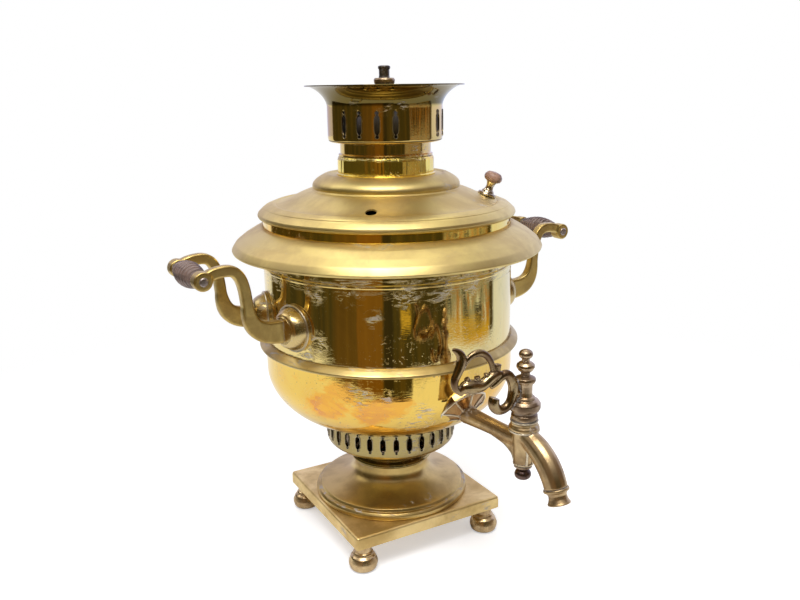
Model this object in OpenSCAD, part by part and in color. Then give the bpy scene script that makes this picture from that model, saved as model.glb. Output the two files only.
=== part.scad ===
// Charcoal samovar in brass: square foot plate on four bun feet, bell pedestal, pierced air
// gallery, spun bowl and body around a fire tube, lid, crown, two handles with turned grips
// and a plug tap. Millimetres. +Z is up. The origin is under the middle of the object's box, at
// the level on which the feet stand. The tap points to -Y, the handles stand to -X and +X, and
// every piece is drawn round the body's axis, which stands axis_y behind the origin.

/* [Foot plate] */
// Side of the square foot plate
plate_w = 150; // [146:1:170]
// Depth of the foot plate's edge
plate_edge = 11.5; // [9:0.5:16]
// Sheet thickness of the foot plate
plate_t = 2.5; // [1.5:0.5:4]
// Radius of the foot plate's rounded edges
plate_round = 2.5; // [1:0.5:4]
// Turn of the screwed-on foot plate against the tap, in degrees
plate_twist = -6.4; // [-20:0.1:20]
// Height of the feet under the plate
foot_h = 24.5; // [20:0.5:32]
// Largest radius of a bun foot
foot_r = 13.3; // [11:0.1:15]
// Distance of a foot's centre from the plate's edge
foot_inset = 10.5; // [9:0.5:14]

/* [Pedestal and air gallery] */
// Radius of the ring at the pedestal's base
pedestal_r = 72.6; // [66:0.2:72.8]
// Height of the pedestal above the plate
pedestal_h = 33.5; // [30:0.5:45]
// Radius of the pedestal's neck
stem_r = 34.4; // [28:0.2:36]
// Height of the ring on the pedestal's neck
neck_ring_h = 4; // [3:0.5:7]
// Radius of the pierced gallery
gallery_r = 60.6; // [56:0.2:64]
// Height of the gallery
gallery_h = 42.5; // [40:0.5:50]
// Number of air slots
gallery_slots = 32; // [16:1:36]
// Width of an air slot
slot_w = 4.2; // [2:0.1:5]
// Height of an air slot
slot_h = 15; // [10:0.5:16]
// Sheet thickness of the pedestal and gallery
base_wall = 1.6; // [1.2:0.1:2]

/* [Body] */
// Radius of the straight body wall
body_r = 111.7; // [108:0.1:120]
// Height of the wall above the bowl's rim
wall_h = 104; // [96:1:140]
// Thickness of the spun sheet
body_t = 1.4; // [1:0.1:2]
// Height of the bowl under the waist
bowl_h = 71; // [66:0.5:90]
// Reach of the waist band past the body wall
waist_out = 7.1; // [4.8:0.1:12]
// Reach of the shoulder ring's sharp lower edge past the body wall
shoulder_out = 26.6; // [20:0.1:34]
// Height of the collar band above the body wall
collar_h = 11.6; // [10:0.1:20]

/* [Fire tube] */
// Radius of the fire chamber
fire_r = 46; // [44:0.5:50]
// Height of the fire chamber
fire_h = 138; // [110:1:140]
// Radius of the chimney pipe
pipe_r = 38.3; // [30:0.1:40]
// Thickness of the tube's wall
fire_t = 1.5; // [1:0.1:2.5]
// Thickness of the cast grate
grate_t = 4; // [3:0.5:6]

/* [Lid, crown and cap] */
// Reach of the lid's rolled edge past the collar band
lid_out = 4.3; // [3:0.1:10]
// Height of the lid from its edge to the chimney collar
lid_h = 35.2; // [33:0.1:50]
// Radius of the lid's upper bulge
bulge_r = 65.2; // [60:0.1:70]
// Sheet thickness of the lid and crown
lid_t = 1.2; // [0.8:0.1:1.6]
// Radius of the chimney collar on the lid
neck_r = 42.5; // [41.5:0.1:46]
// Height of the chimney collar
neck_h = 15.9; // [13:0.1:26]
// Largest radius of the knob's brass base
knob_r = 8.3; // [7:0.1:9]
// Gap between the knob's base and the lid's step
knob_gap = 0.84; // [0.5:0.01:3]
// Direction of the lid knob from +X, in degrees
knob_turn = -34.6; // [-60:0.1:-20]
// Direction of the steam hole from +X, in degrees
steam_turn = -132.6; // [-150:0.1:-110]
// Radius of the steam hole
steam_r = 4.6; // [2:0.1:6]
// Radius of the crown's drum
drum_r = 50.2; // [48:0.1:54]
// Height of the crown's drum
drum_h = 31; // [28:0.5:40]
// Radius of the crown's flared rim
rim_r = 69.1; // [64:0.1:76]
// Rise of the flare from the drum to the rim
rim_rise = 17; // [14:0.5:24]
// Height of the cap knob's stem above the rim
cap_knob_rise = 16; // [12:0.5:30]

/* [Handles] */
// Turn of the handles from square to the tap, in degrees
handle_turn = -3; // [-8:0.1:8]
// Distance of an arm from the handle's middle plane
arm_y = 29; // [27:0.5:36]
// Thickness of an arm
arm_t = 8; // [6:0.5:10]
// Depth of an arm at its root
arm_root = 19.5; // [15:0.5:20]
// Depth of an arm along its upright and arch
arm_w = 9; // [7:0.5:10]
// Reach of the grip's axis from the body wall
grip_out = 72.3; // [68:0.1:80]
// Height of the arms' rosettes above the waist
arm_rise = 33.5; // [30:0.5:44]
// Height of the grips above the rosettes
grip_rise = 50.5; // [46:0.1:58]
// Largest radius of a turned grip
grip_r = 10.6; // [8:0.1:12]
// Radius of the rod through a grip
rod_r = 2.6; // [1.5:0.1:3]
// Radius of a handle rosette
rosette_r = 20; // [18:0.5:22]
// Height of a rosette's dome
rosette_h = 13; // [11:0.5:15]

/* [Tap] */
// Distance of the plug's axis from the bowl
tap_out = 66.8; // [64:0.1:82]
// Height of the tap's tube above the gallery's top
tube_rise = 30.3; // [28:0.1:34]
// Outer radius of the tap's tube
tube_r = 6.5; // [6:0.1:8]
// Radius of the water way
water_r = 3.4; // [2:0.1:3.6]
// Radius of the tapered plug at its top
plug_r = 6.25; // [5.5:0.05:6.5]
// Outer radius of the spout
spout_r = 8.8; // [8:0.1:9.6]
// Radius of the nozzle behind its lip
nozzle_r = 8.2; // [7.6:0.1:8.8]
// Downward angle of the spout where it leaves the barrel
spout_start = 13; // [10:1:20]
// Downward angle of the spout at its mouth
spout_end = 70; // [66:1:76]
// Corner radius of the tap's eight-sided flange
flange_r = 19.5; // [17:0.5:22]
// Turn of the key's branch from square to the tap, in degrees
branch_turn = 10; // [0:1:12]
// Thickness of the cast branch
branch_t = 5; // [3:0.5:7]

/* [Fits] */
// Radial clearance of turning pieces
turn_fit = 0.06; // [0.02:0.01:0.1]
// Gap between nested pieces of one body
nest_fit = 0.1; // [0.05:0.05:0.3]
// Gap under pieces that lift off
rest_gap = 0.3; // [0.2:0.05:0.6]

/* [Hidden] */
$fn = 96;

brass = "#c9ac62";
satin = "#d8c68c";
dark_brass = "#8c7138";
iron = "#3a3836";
wood = "#7a4d38";

// Levels, from the ground up
plate_top = foot_h + plate_edge;
ring_z = plate_top + pedestal_h;
gallery_z = ring_z + neck_ring_h;
bowl_z = gallery_z + gallery_h;
bowl_top = bowl_z + bowl_h;
wall_top = bowl_top + wall_h;
lid_z = wall_top + collar_h + rest_gap;
lid_top = lid_z + lid_h;
neck_top = lid_top + neck_h;
crown_z = neck_top + rest_gap;
crown_neck_h = 11.7;
drum_z = crown_z + crown_neck_h;
rim_z = drum_z + drum_h + rim_rise;
tube_z = bowl_z + tube_rise;

// Body
bowl_r = body_r + nest_fit + body_t;
bowl_curve_h = 50;
sleeve = 7;
collar_r = body_r - body_t - nest_fit;
waist_r = body_r + waist_out;
shoulder_r = body_r + shoulder_out;
seat_depth = 7;
shoulder_drop = 23;
lid_r = collar_r + lid_out;

// Fire tube
grate_lip = 6;
tube_foot = 4;
pipe_top = crown_z + 8;
fire_cone_h = 40;
pipe_gap = 0.5;

// Handles
arm_z = bowl_top + arm_rise;
grip_z = arm_z + grip_rise;
grip_reach = body_r + grip_out;
root_x = body_r + 2.3;
boss_r = 7.6;
boss_t = 10;
boss_in = arm_y - boss_t / 2;
boss_out = arm_y + boss_t / 2;
rosette_turn = asin(arm_y / (body_r + 6));
stud_r = 3;
rod_head_r = 3.6;
rod_head_t = 1.5;
grip_gap = 0.4;
grip_rings = 11;

// Tap, measured along its own axes
tap_reach = bowl_r + tap_out;
collar_top = tube_z + 18.5;
collar_z = tube_z + 9.5;
barrel_z = tube_z - 18.8;
barrel_r = [7.3, 8.6];
plug_z = collar_top + rest_gap;
plug_taper = 1;
column_r = 5.8;
finial_z = tube_z + 48.4;
finial_stud_h = 2.8;
branch_pin_z = tube_z + 41.5;
branch_pin_r = 2;
tenon_r = tube_r - 1;
spout_rise = 6;
spout_bend = 49;
mouth_r = 4.4;
spout_way_r = mouth_r - 0.5;
nozzle_l = 12;
plug_tail = 8.4;
nut_drop = 12.6;
socket_l = 5;
socket_r = 5.6;
flange_tilt = 33;
flange_h = 8.5;
flange_z = tube_z + 4.8;
flange_reach = bowl_r - 3.3;

// ---- Profiles: the outside of a wall lies to the right of the way its points run ----
function unit(v) = v / norm(v);
function right_of(a, b) = let (d = unit(b - a)) [d[1], -d[0]];
function point_normal(p, i) =
    let (last = len(p) - 1,
         n1 = right_of(p[max(i - 1, 0)], p[max(i, 1)]),
         n2 = right_of(p[min(i, last - 1)], p[min(i + 1, last)]),
         n = unit(n1 + n2))
    n / max(0.6, n * n1);
function inset(p, t) = [for (i = [0 : len(p) - 1]) p[i] - t * point_normal(p, i)];
function backwards(p) = [for (i = [len(p) - 1 : -1 : 0]) p[i]];
function shell(p, t) = concat(p, backwards(inset(p, t)));
function span(p, first, last) = [for (i = [first : last]) p[i]];
function shell_span(p, t, first, last) =
    concat(span(p, first, last), backwards(span(inset(p, t), first, last)));
function on_curve(c, t) = let (s = 1 - t)
    s * s * s * c[0] + 3 * s * s * t * c[1] + 3 * s * t * t * c[2] + t * t * t * c[3];
function curve(a, b, c, d, n) = [for (i = [0 : n]) let (t = i / n, s = 1 - t)
    s * s * s * a + 3 * s * s * t * b + 3 * s * t * t * c + t * t * t * d];
function tail(p) = [for (i = [1 : len(p) - 1]) p[i]];
function ribbon(p, w) = concat(
    [for (i = [0 : len(p) - 1]) p[i] + w[i] / 2 * point_normal(p, i)],
    backwards([for (i = [0 : len(p) - 1]) p[i] - w[i] / 2 * point_normal(p, i)]));

module turned(points) { rotate_extrude() polygon(points); }

// ---- Foot plate, feet and pedestal ----
module plate_block(w, z0, z1, r) {
    flat = w / 2 - r;
    translate([-flat, -flat, z0]) cube([2 * flat, 2 * flat, z1 - z0]);
    translate([-w / 2, -flat, z0]) cube([w, 2 * flat, z1 - z0 - r]);
    translate([-flat, -w / 2, z0]) cube([2 * flat, w, z1 - z0 - r]);
    for (x = [-flat, flat], y = [-flat, flat]) {
        translate([x, y, z0]) cylinder(r = r, h = z1 - z0 - r, $fn = 32);
        translate([x, y, z1 - r]) sphere(r = r, $fn = 32);
    }
    for (turn = [0, 90]) rotate(turn) for (y = [-flat, flat])
        translate([-flat, y, z1 - r]) rotate([0, 90, 0]) cylinder(r = r, h = 2 * flat, $fn = 32);
}

pad = 22;
foot_at = plate_w / 2 - foot_inset;
foot_stud_r = 3;
foot_stud_h = 6;

module base_plate() color(satin) rotate(plate_twist) difference() {
    plate_block(plate_w, foot_h, plate_top, plate_round);
    difference() {
        hollow = plate_w - 2 * plate_t;
        translate([-hollow / 2, -hollow / 2, foot_h - 1]) cube([hollow, hollow, plate_edge - plate_t + 1]);
        for (x = [-1, 1], y = [-1, 1])
            translate([x * foot_at - pad / 2, y * foot_at - pad / 2, foot_h - 2]) cube([pad, pad, plate_edge + 2]);
    }
    for (x = [-1, 1], y = [-1, 1])
        translate([x * foot_at, y * foot_at, foot_h - 1])
            cylinder(r = foot_stud_r + nest_fit, h = foot_stud_h + 1.2);
}

module foot(x, y) color(dark_brass) rotate(plate_twist) translate([x * foot_at, y * foot_at, 0]) {
    bun_h = foot_h - 7;
    turned([[0, 0], [foot_r - 4.6, 0], [foot_r - 2, bun_h * 0.08], [foot_r - 0.4, bun_h * 0.28],
        [foot_r, bun_h * 0.5], [foot_r - 0.7, bun_h * 0.72], [foot_r - 2.8, bun_h * 0.92],
        [foot_r - 4.7, bun_h], [foot_r - 4.2, bun_h + 1.2], [foot_r - 4.8, bun_h + 2.4],
        [foot_r - 5.9, bun_h + 3.4], [foot_r - 5.4, foot_h], [foot_stud_r, foot_h],
        [foot_stud_r, foot_h + foot_stud_h], [0, foot_h + foot_stud_h]]);
}

// The pedestal is one sheet, cut where its bell turns up into its stem.
stem_starts = 13;
stem_ends = 17;

function pedestal_profile() = let (step_r = pedestal_r - 4.8, z = plate_top) concat(
    [[pedestal_r - 0.8, z], [pedestal_r, z + 1.4], [pedestal_r + 0.1, z + 3.2],
     [pedestal_r - 0.5, z + 5.2], [pedestal_r - 2, z + 6.7], [pedestal_r - 3.8, z + 7],
     [step_r, z + 9.4]],
    tail(curve([step_r, z + 9.4], [step_r - 20, z + 14], [stem_r + 0.6, z + 15],
               [stem_r, ring_z - 5], 10)),
    [[stem_r, ring_z]]);

module pedestal() color(satin)
    turned(shell_span(pedestal_profile(), base_wall, 0, stem_starts));

module pedestal_stem() color(satin)
    turned(shell_span(pedestal_profile(), base_wall, stem_starts, stem_ends));

module neck_ring() color(brass) {
    inner = stem_r - base_wall;
    turned([[inner, ring_z], [stem_r + 3.2, ring_z], [stem_r + 4.2, ring_z + neck_ring_h * 0.3],
        [stem_r + 4.2, ring_z + neck_ring_h * 0.6], [stem_r + 3.2, ring_z + neck_ring_h * 0.92],
        [stem_r + 0.8, gallery_z], [inner, gallery_z]]);
}

module air_gallery() color(brass) {
    slot_z = bowl_z - 12.5;
    wall_z = gallery_z + 20;
    slot_turn = 3.6;
    difference() {
        turned(shell(concat(
            [[stem_r - base_wall, gallery_z], [stem_r + 0.6, gallery_z]],
            curve([stem_r + 1, gallery_z + 3], [stem_r + 3, gallery_z + 11],
                  [gallery_r, gallery_z + 11], [gallery_r, wall_z], 10),
            [[gallery_r, bowl_z]]), base_wall));
        for (i = [0 : gallery_slots - 1]) rotate(i * 360 / gallery_slots + slot_turn)
            translate([gallery_r, 0, slot_z]) {
                cube([8, slot_w, slot_h - slot_w], center = true);
                for (end = [-1, 1]) translate([0, 0, end * (slot_h - slot_w) / 2])
                    rotate([0, 90, 0]) cylinder(d = slot_w, h = 8, center = true, $fn = 24);
            }
    }
}

// ---- Fire tube and grate ----
module fire_grate() color(iron) {
    grate_r = fire_r - fire_t - rest_gap;
    z = bowl_z - tube_foot + fire_t;
    bar = 8;
    translate([0, 0, z]) difference() {
        cylinder(r = grate_r, h = grate_t);
        for (x = [-3 : 3]) {
            half = sqrt(pow(grate_r - 6, 2) - pow(x * bar * 1.3, 2));
            translate([x * bar * 1.3 - bar / 4, -half, -1]) cube([bar / 2, 2 * half, grate_t + 2]);
        }
    }
}

fire_foot = bowl_z - tube_foot;

function fire_profile() = [[fire_r, fire_foot], [fire_r, fire_foot + fire_h],
    [pipe_r, fire_foot + fire_h + fire_cone_h], [pipe_r, pipe_top]];

module grate_ring() color(dark_brass) turned([[fire_r - grate_lip, fire_foot],
    [fire_r - fire_t, fire_foot], [fire_r - fire_t, fire_foot + fire_t],
    [fire_r - grate_lip, fire_foot + fire_t]]);

module fire_tube() color(dark_brass) turned(shell_span(fire_profile(), fire_t, 0, 1));

module fire_cone() color(dark_brass) turned(shell_span(fire_profile(), fire_t, 1, 2));

module chimney_pipe() color(dark_brass) turned(shell_span(fire_profile(), fire_t, 2, 3));

// ---- Water vessel ----
function bowl_profile() = concat(
    [[fire_r + nest_fit, bowl_z]],
    curve([gallery_r + 0.9, bowl_z], [gallery_r + 27.4, bowl_z + 2.5],
          [bowl_r, bowl_z + 26], [bowl_r, bowl_z + bowl_curve_h], 14),
    [[bowl_r, bowl_top]]);

module tap_way(extra) {
    translate([0, -bowl_r - 20, tube_z]) rotate([-90, 0, 0]) cylinder(r = tenon_r + extra, h = 50);
}

// The bowl is one sheet, cut round its floor and where it turns upright.
floor_ends = 6;
turn_ends = 10;
bowl_ends = 16;

module bowl_floor() color(brass) turned(shell_span(bowl_profile(), body_t, 0, floor_ends));

module bowl_turn() color(brass) difference() {
    turned(shell_span(bowl_profile(), body_t, floor_ends, turn_ends));
    tap_way(nest_fit);
}

module lower_bowl() color(brass) difference() {
    turned(shell_span(bowl_profile(), body_t, turn_ends, bowl_ends));
    tap_way(nest_fit);
}

module waist_band() color(brass) {
    top = bowl_top + 7.5;
    turned([[body_r + nest_fit, bowl_top], [bowl_r + 2.4, bowl_top], [waist_r - 0.6, bowl_top + 1.2],
        [waist_r, bowl_top + 2.2], [waist_r - 0.5, bowl_top + 3.2], [body_r + 3.6, bowl_top + 5.6],
        [body_r + 1.8, top], [body_r + nest_fit, top]]);
}

module on_side(side) { rotate(handle_turn) mirror([side < 0 ? 1 : 0, 0, 0]) children(); }
module at_rosette(side, end) { on_side(side) rotate(end * rosette_turn) children(); }

module body_wall() color(brass) difference() {
    bead_z = bowl_top + wall_h - 30.5;
    turned(shell([[body_r, bowl_top - sleeve], [body_r, bead_z - 1], [body_r + 1, bead_z - 0.3],
        [body_r + 1, bead_z + 1.3], [body_r, bead_z + 2], [body_r, wall_top]], body_t));
    for (side = [-1, 1], end = [-1, 1]) at_rosette(side, end)
        translate([body_r - 10, 0, arm_z]) rotate([0, 90, 0]) cylinder(r = stud_r + nest_fit, h = 20);
}

// The shoulder is one sheet, cut along its sharp edge. It seats on the wall and the collar band.
shoulder_edge = 4;
shoulder_ends = 10;
shoulder_top = wall_top + 4.7;

function shoulder_profile() = let (low = wall_top - shoulder_drop, edge_z = wall_top - 15.6) [
    [body_r, low], [body_r + shoulder_out * 0.3, low + 3], [shoulder_r - 8, edge_z - 2.6],
    [shoulder_r - 1.6, edge_z - 1.3], [shoulder_r, edge_z], [shoulder_r - 0.5, edge_z + 1.4],
    [shoulder_r - 3.5, edge_z + 6.1], [shoulder_r - 10.3, edge_z + 11.4],
    [body_r + shoulder_out * 0.31, edge_z + 16.2], [body_r + 1.5, shoulder_top - 0.5],
    [collar_r, shoulder_top]];

module seated_on_wall(first, last) difference() {
    turned(shell_span(shoulder_profile(), body_t, first, last));
    turned([[0, 0], [body_r + nest_fit, 0], [body_r + nest_fit, wall_top + nest_fit],
        [collar_r + nest_fit, wall_top + nest_fit], [collar_r + nest_fit, lid_z], [0, lid_z]]);
}

module shoulder_under() color(satin) seated_on_wall(0, shoulder_edge);

module shoulder_ring() color(satin) seated_on_wall(shoulder_edge, shoulder_ends);

module collar_band() color(brass) {
    turned(shell([[collar_r, wall_top - seat_depth], [collar_r, lid_z - rest_gap]], body_t));
}

// ---- Lid ----
lid_hole_r = neck_r - 2.2;
skirt_r = collar_r - body_t - 0.7;

// The lid is one sheet, cut at its inner step and at the foot of its bulge.
rim_ends = 9;
cove_ends = 18;
bulge_ends = 29;
cove = [[lid_r - 16.4, lid_z + 11.2], [lid_r - 26, lid_z + 12.4],
    [bulge_r + 16, lid_z + 18.6], [bulge_r + 4, lid_z + 22.4]];

function lid_profile() = let (edge = lid_r, z = lid_z, b = bulge_r) concat(
    [[edge - 5.5, z], [edge - 1.2, z + 0.3], [edge, z + 2.1], [edge - 0.5, z + 3.9],
     [edge - 1.9, z + 5.1], [edge - 4.4, z + 7.7], [edge - 8.5, z + 10.1], [edge - 13.5, z + 11.9],
     [edge - 15.3, z + 11.9]],
    curve(cove[0], cove[1], cove[2], cove[3], 8),
    [[b + 1, z + 22.9]],
    curve([b - 0.4, z + 24], [b + 1.2, z + 28.5], [b - 2, z + 32], [b - 11, z + 36.4], 7),
    [[b - 13.5, z + 36.6], [b - 15, z + lid_h], [lid_hole_r, lid_top]]);

// The knob stands on the chord between the two places where its base touches the hollow cove.
knob_neck = 12.6;
knob_stud_r = 2;
knob_chord = knob_r + 0.7;
cove_l = norm(cove[3] - cove[0]);
knob_place = (knob_chord + knob_gap) / cove_l;
knob_low = on_curve(cove, knob_gap / cove_l);
knob_high = on_curve(cove, (2 * knob_chord + knob_gap) / cove_l);
knob_seat = (knob_low + knob_high) / 2;
knob_tilt = atan2(knob_high[1] - knob_low[1], knob_low[0] - knob_high[0]);
steam_ring_r = on_curve(cove, knob_place)[0];

module at_knob() rotate(knob_turn) translate([knob_seat[0], 0, knob_seat[1]])
    rotate([0, knob_tilt, 0]) children();

module lid_rim() color(satin) {
    turned(shell_span(lid_profile(), lid_t, 0, rim_ends));
    skirt_top = lid_z + 10.1 - 0.585 * (skirt_r - lid_r + 8.5) - 0.5;
    turned([[skirt_r - lid_t, lid_z - 8], [skirt_r, lid_z - 8], [skirt_r, skirt_top],
        [skirt_r - lid_t, skirt_top]]);
}

module lid() color(satin) difference() {
    turned(shell_span(lid_profile(), lid_t, rim_ends, cove_ends));
    at_knob() cylinder(r = knob_stud_r + nest_fit, h = 20, center = true);
    rotate(steam_turn) translate([steam_ring_r, 0, lid_z]) cylinder(r = steam_r, h = lid_h, $fn = 48);
}

module lid_bulge() color(satin) turned(shell_span(lid_profile(), lid_t, cove_ends, bulge_ends));

module lid_neck() color(brass) {
    wall = neck_r - pipe_r - pipe_gap;
    turned([[pipe_r + pipe_gap, lid_top], [neck_r + 1, lid_top], [neck_r + 1, lid_top + 1],
        [neck_r, lid_top + 1.8], [neck_r, neck_top - 3], [neck_r - 0.9, neck_top - 1.6],
        [neck_r - 1.1, neck_top], [pipe_r + pipe_gap, neck_top], [pipe_r + pipe_gap, neck_top - 3],
        [neck_r - wall / 3, neck_top - 5], [neck_r - wall / 3, lid_top + 4], [pipe_r + pipe_gap, lid_top + 3]]);
}

module knob_base() color(dark_brass) at_knob()
    turned([[knob_stud_r + nest_fit, nest_fit], [knob_r - 0.5, nest_fit], [knob_r, 0.8], [knob_r - 0.4, 2],
        [5.8, 2.8], [5.2, 4], [3.7, 5.8], [3.4, 8.2], [3.8, 10.8], [4.6, knob_neck], [knob_stud_r + nest_fit, knob_neck]]);

module knob_head() color(wood) at_knob()
    translate([0, 0, knob_neck + nest_fit]) turned([[0, 0], [4.8, 0], [7.2, 1.4], [8.2, 3.4],
        [8, 5.4], [6.8, 7.4], [5.8, 8.6], [3.4, 9.3], [0, 9.5]]);

module knob_nut() color(brass) at_knob() {
    nut_top = -lid_t - 0.9;
    nut_h = 2.4;
    stud_foot = nut_top - nut_h - 1;
    translate([0, 0, stud_foot]) cylinder(r = knob_stud_r, h = knob_neck - stud_foot);
    translate([0, 0, nut_top - nut_h]) cylinder(r = 4.6, h = nut_h, $fn = 6);
}

// ---- Crown and chimney cap ----
module crown_neck() color(brass) {
    inner = pipe_r + pipe_gap;
    outer = inner + 1.1;
    turned([[inner, crown_z], [outer + 1.4, crown_z], [outer + 1.6, crown_z + 1.2], [outer, crown_z + 2.2],
        [outer, drum_z], [inner, drum_z]]);
}

// The crown's sheet is cut at the foot of its drum and at the fold of its flare.
drum_starts = 7;
drum_ends = 8;
rim_last = 17;

function crown_profile() = let (inner = pipe_r + pipe_gap, flare_z = drum_z + drum_h, seat_w = 4,
                                floor_w = drum_r - inner) concat(
    [[inner, drum_z], [inner + 0.18 * floor_w, drum_z]],
    curve([inner + 0.3 * floor_w, drum_z], [drum_r - 0.26 * floor_w, drum_z + 0.2],
          [drum_r, drum_z + 1], [drum_r, drum_z + 5], 5),
    curve([drum_r, flare_z], [drum_r + 1.4, flare_z + 7], [drum_r + 7, flare_z + rim_rise - 3.6],
          [rim_r - seat_w, rim_z - lid_t], 8),
    [[rim_r, rim_z - lid_t]]);

module crown_floor() color(satin) turned(shell_span(crown_profile(), lid_t, 0, drum_starts));

module crown_rim() color(satin) turned(shell_span(crown_profile(), lid_t, drum_ends, rim_last));

module crown_drum() color(satin) {
    slot_mid = drum_z + 16;
    slot_long = 22;
    slot_wide = 5.4;
    group_turn = 105;
    slot_pitch = 17.5;
    first_slot = -167.3;
    difference() {
        turned(shell_span(crown_profile(), lid_t, drum_starts, drum_ends));
        for (group = [0 : 2], i = [0 : 3])
            rotate(first_slot + group * group_turn + i * slot_pitch) translate([drum_r, 0, slot_mid]) {
                cube([8, slot_wide, slot_long - 2 * slot_wide], center = true);
                for (end = [-1, 1]) translate([0, 0, end * (slot_long / 2 - slot_wide)])
                    rotate([0, 90, 0]) cylinder(d = slot_wide, h = 8, center = true, $fn = 32);
                cube([8, slot_wide * 0.4, slot_long], center = true);
            }
    }
}

cap_z = drum_z + lid_t + rest_gap;
cap_top = rim_z - 16;

module chimney_cap() color(brass) {
    flange = pipe_r + 5.2;
    turned([[pipe_r - 1, cap_z], [flange, cap_z], [flange, cap_z + lid_t], [pipe_r - 1, cap_z + lid_t]]);
    turned(shell(concat(
        curve([pipe_r + 1, cap_z], [pipe_r - 4, cap_z + 19], [16, cap_top - 9], [7, cap_top - 2], 9),
        [[5.2, cap_top]]), lid_t));
}

module cap_knob() color(dark_brass) {
    disc_z = rim_z - 5;
    tip_z = rim_z + cap_knob_rise;
    turned([[0, cap_top - 5], [3.4, cap_top - 5], [3.4, cap_top], [6, cap_top], [6.2, cap_top + 1.6],
        [4.2, cap_top + 3.2], [4, disc_z - 1], [6.6, disc_z + 1.4], [8.6, disc_z + 5],
        [9, disc_z + 8.2], [8.2, disc_z + 9.2], [4.8, disc_z + 9.4], [4.3, disc_z + 12],
        [4.5, tip_z - 2.6], [3.6, tip_z - 0.8], [0, tip_z]]);
}

// ---- Handles ----
function arm_line() = let (z = arm_z, g = grip_z, top = grip_z + 5.6, up = grip_reach - 35) concat(
    curve([root_x, z], [root_x + 24, z - 1], [up - 1, z + 4], [up, z + 25], 12),
    tail(curve([up, z + 25], [up + 1.2, z + 38], [up + 2, top], [up + 16, top], 9)),
    tail(curve([up + 16, top], [up + 24, top], [grip_reach - 5, g + 4], [grip_reach, g], 6)));

function arm_depth(n) = [for (i = [0 : n - 1])
    let (s = min(1, i / 12)) arm_root + (arm_w - arm_root) * (0.3 * s + 0.7 * s * s)];

module arm_bar(extra) {
    line = arm_line();
    rotate([90, 0, 0]) linear_extrude(height = arm_t + 2 * extra, center = true)
        polygon(ribbon(line, [for (w = arm_depth(len(line))) w + 2 * extra]));
}

module arm(side, end) color(dark_brass) on_side(side) {
    difference() {
        union() {
            translate([0, end * arm_y, 0]) {
                arm_bar(0);
                translate([grip_reach, 0, grip_z]) rotate([90, 0, 0])
                    cylinder(r = boss_r, h = boss_t, center = true);
            }
            rotate(end * rosette_turn) translate([body_r - 10, 0, arm_z]) rotate([0, 90, 0])
                cylinder(r = stud_r, h = rosette_h + 4);
        }
        translate([grip_reach, 0, grip_z]) rotate([90, 0, 0])
            cylinder(r = rod_r + nest_fit, h = 3 * arm_y, center = true);
    }
}

module rosette(side, end) color(brass) difference() {
    at_rosette(side, end) translate([0, 0, arm_z]) rotate([0, 90, 0]) turned(concat(
        [[0, body_r - 4], [rosette_r, body_r - 4], [rosette_r, body_r + 1.8],
         [rosette_r - 0.8, body_r + 2.6]],
        curve([rosette_r - 1.6, body_r + 2.4], [rosette_r - 2.5, body_r + rosette_h - 6],
              [rosette_r - 5.5, body_r + rosette_h - 1.6], [rosette_r - 7.6, body_r + rosette_h - 1.2], 8),
        [[rosette_r - 8.2, body_r + rosette_h], [0, body_r + rosette_h]]));
    cylinder(r = body_r + nest_fit, h = 2 * lid_top);
    at_rosette(side, end) translate([body_r - 2, 0, arm_z]) rotate([0, 90, 0])
        cylinder(r = stud_r + nest_fit, h = rosette_h + 7);
    on_side(side) translate([0, end * arm_y, 0]) arm_bar(nest_fit);
}

module arm_nuts() color(brass) for (side = [-1, 1], end = [-1, 1]) at_rosette(side, end)
    translate([body_r - body_t - 0.4, 0, arm_z]) rotate([0, -90, 0]) difference() {
        cylinder(r = 6, h = 4, $fn = 6);
        translate([0, 0, -1]) cylinder(r = stud_r + turn_fit, h = 6);
    }

module at_grip(side) rotate(handle_turn) translate([side * grip_reach, 0, grip_z]) rotate([90, 0, 0]) children();

module grip_rod(side) color(dark_brass) at_grip(side) {
    cylinder(r = rod_r, h = 2 * boss_out, center = true);
    for (end = [-1, 1]) translate([0, 0, end * (boss_out + rod_head_t / 2)])
        cylinder(r = rod_head_r, h = rod_head_t, center = true);
}

grip_end_r = 6;
grip_groove = 0.9;
grip_half = boss_in - grip_gap;

function grip_radius(y) = grip_end_r + (grip_r - grip_end_r) * cos(90 * y / grip_half);

module grip(side) color(wood) {
    pitch = 2 * grip_half / grip_rings;
    bore = rod_r + turn_fit;
    crests = [for (i = [0 : grip_rings - 1], part = [0, 0.25, 0.75])
        let (y = -grip_half + (i + part) * pitch, cut = part == 0 ? grip_groove : 0)
        [grip_radius(y) - cut, y]];
    at_grip(side)
        turned(concat([[bore, grip_half], [bore, -grip_half]], crests,
            [[grip_end_r - grip_groove, grip_half]]));
}

// ---- Tap: built with the tube along +X and the plug upright, then turned to -Y ----
module at_tap() { rotate(-90) children(); }
module on_plug() at_tap() translate([tap_reach, 0, 0]) children();
module along(start, angle, length, r) {
    translate([start[0], 0, start[1]]) rotate([0, 90 + angle, 0]) cylinder(r = r, h = length);
}

spout_from = [tap_reach, tube_z + spout_rise];
bend_centre = spout_from - spout_bend * [sin(spout_start), cos(spout_start)];
nozzle_from = bend_centre + spout_bend * [sin(spout_end), cos(spout_end)];
nozzle_way = [cos(spout_end), -sin(spout_end)];
nozzle_lip_r = nozzle_r + 0.6;
nozzle_lip_z = nozzle_l - 0.8;

// The origin lies midway between the nozzle's lip and the back of the shoulder.
tap_front = nozzle_from[0] + nozzle_lip_z * cos(spout_end) + nozzle_lip_r * sin(spout_end);
axis_y = (tap_front - shoulder_r) / 2;

module spout_bow(r, start) {
    translate([bend_centre[0], 0, bend_centre[1]]) rotate([90, 0, 0])
        rotate([0, 0, 90 - spout_end]) rotate_extrude(angle = spout_end - start)
            translate([spout_bend, 0]) circle(r = r);
}

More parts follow.
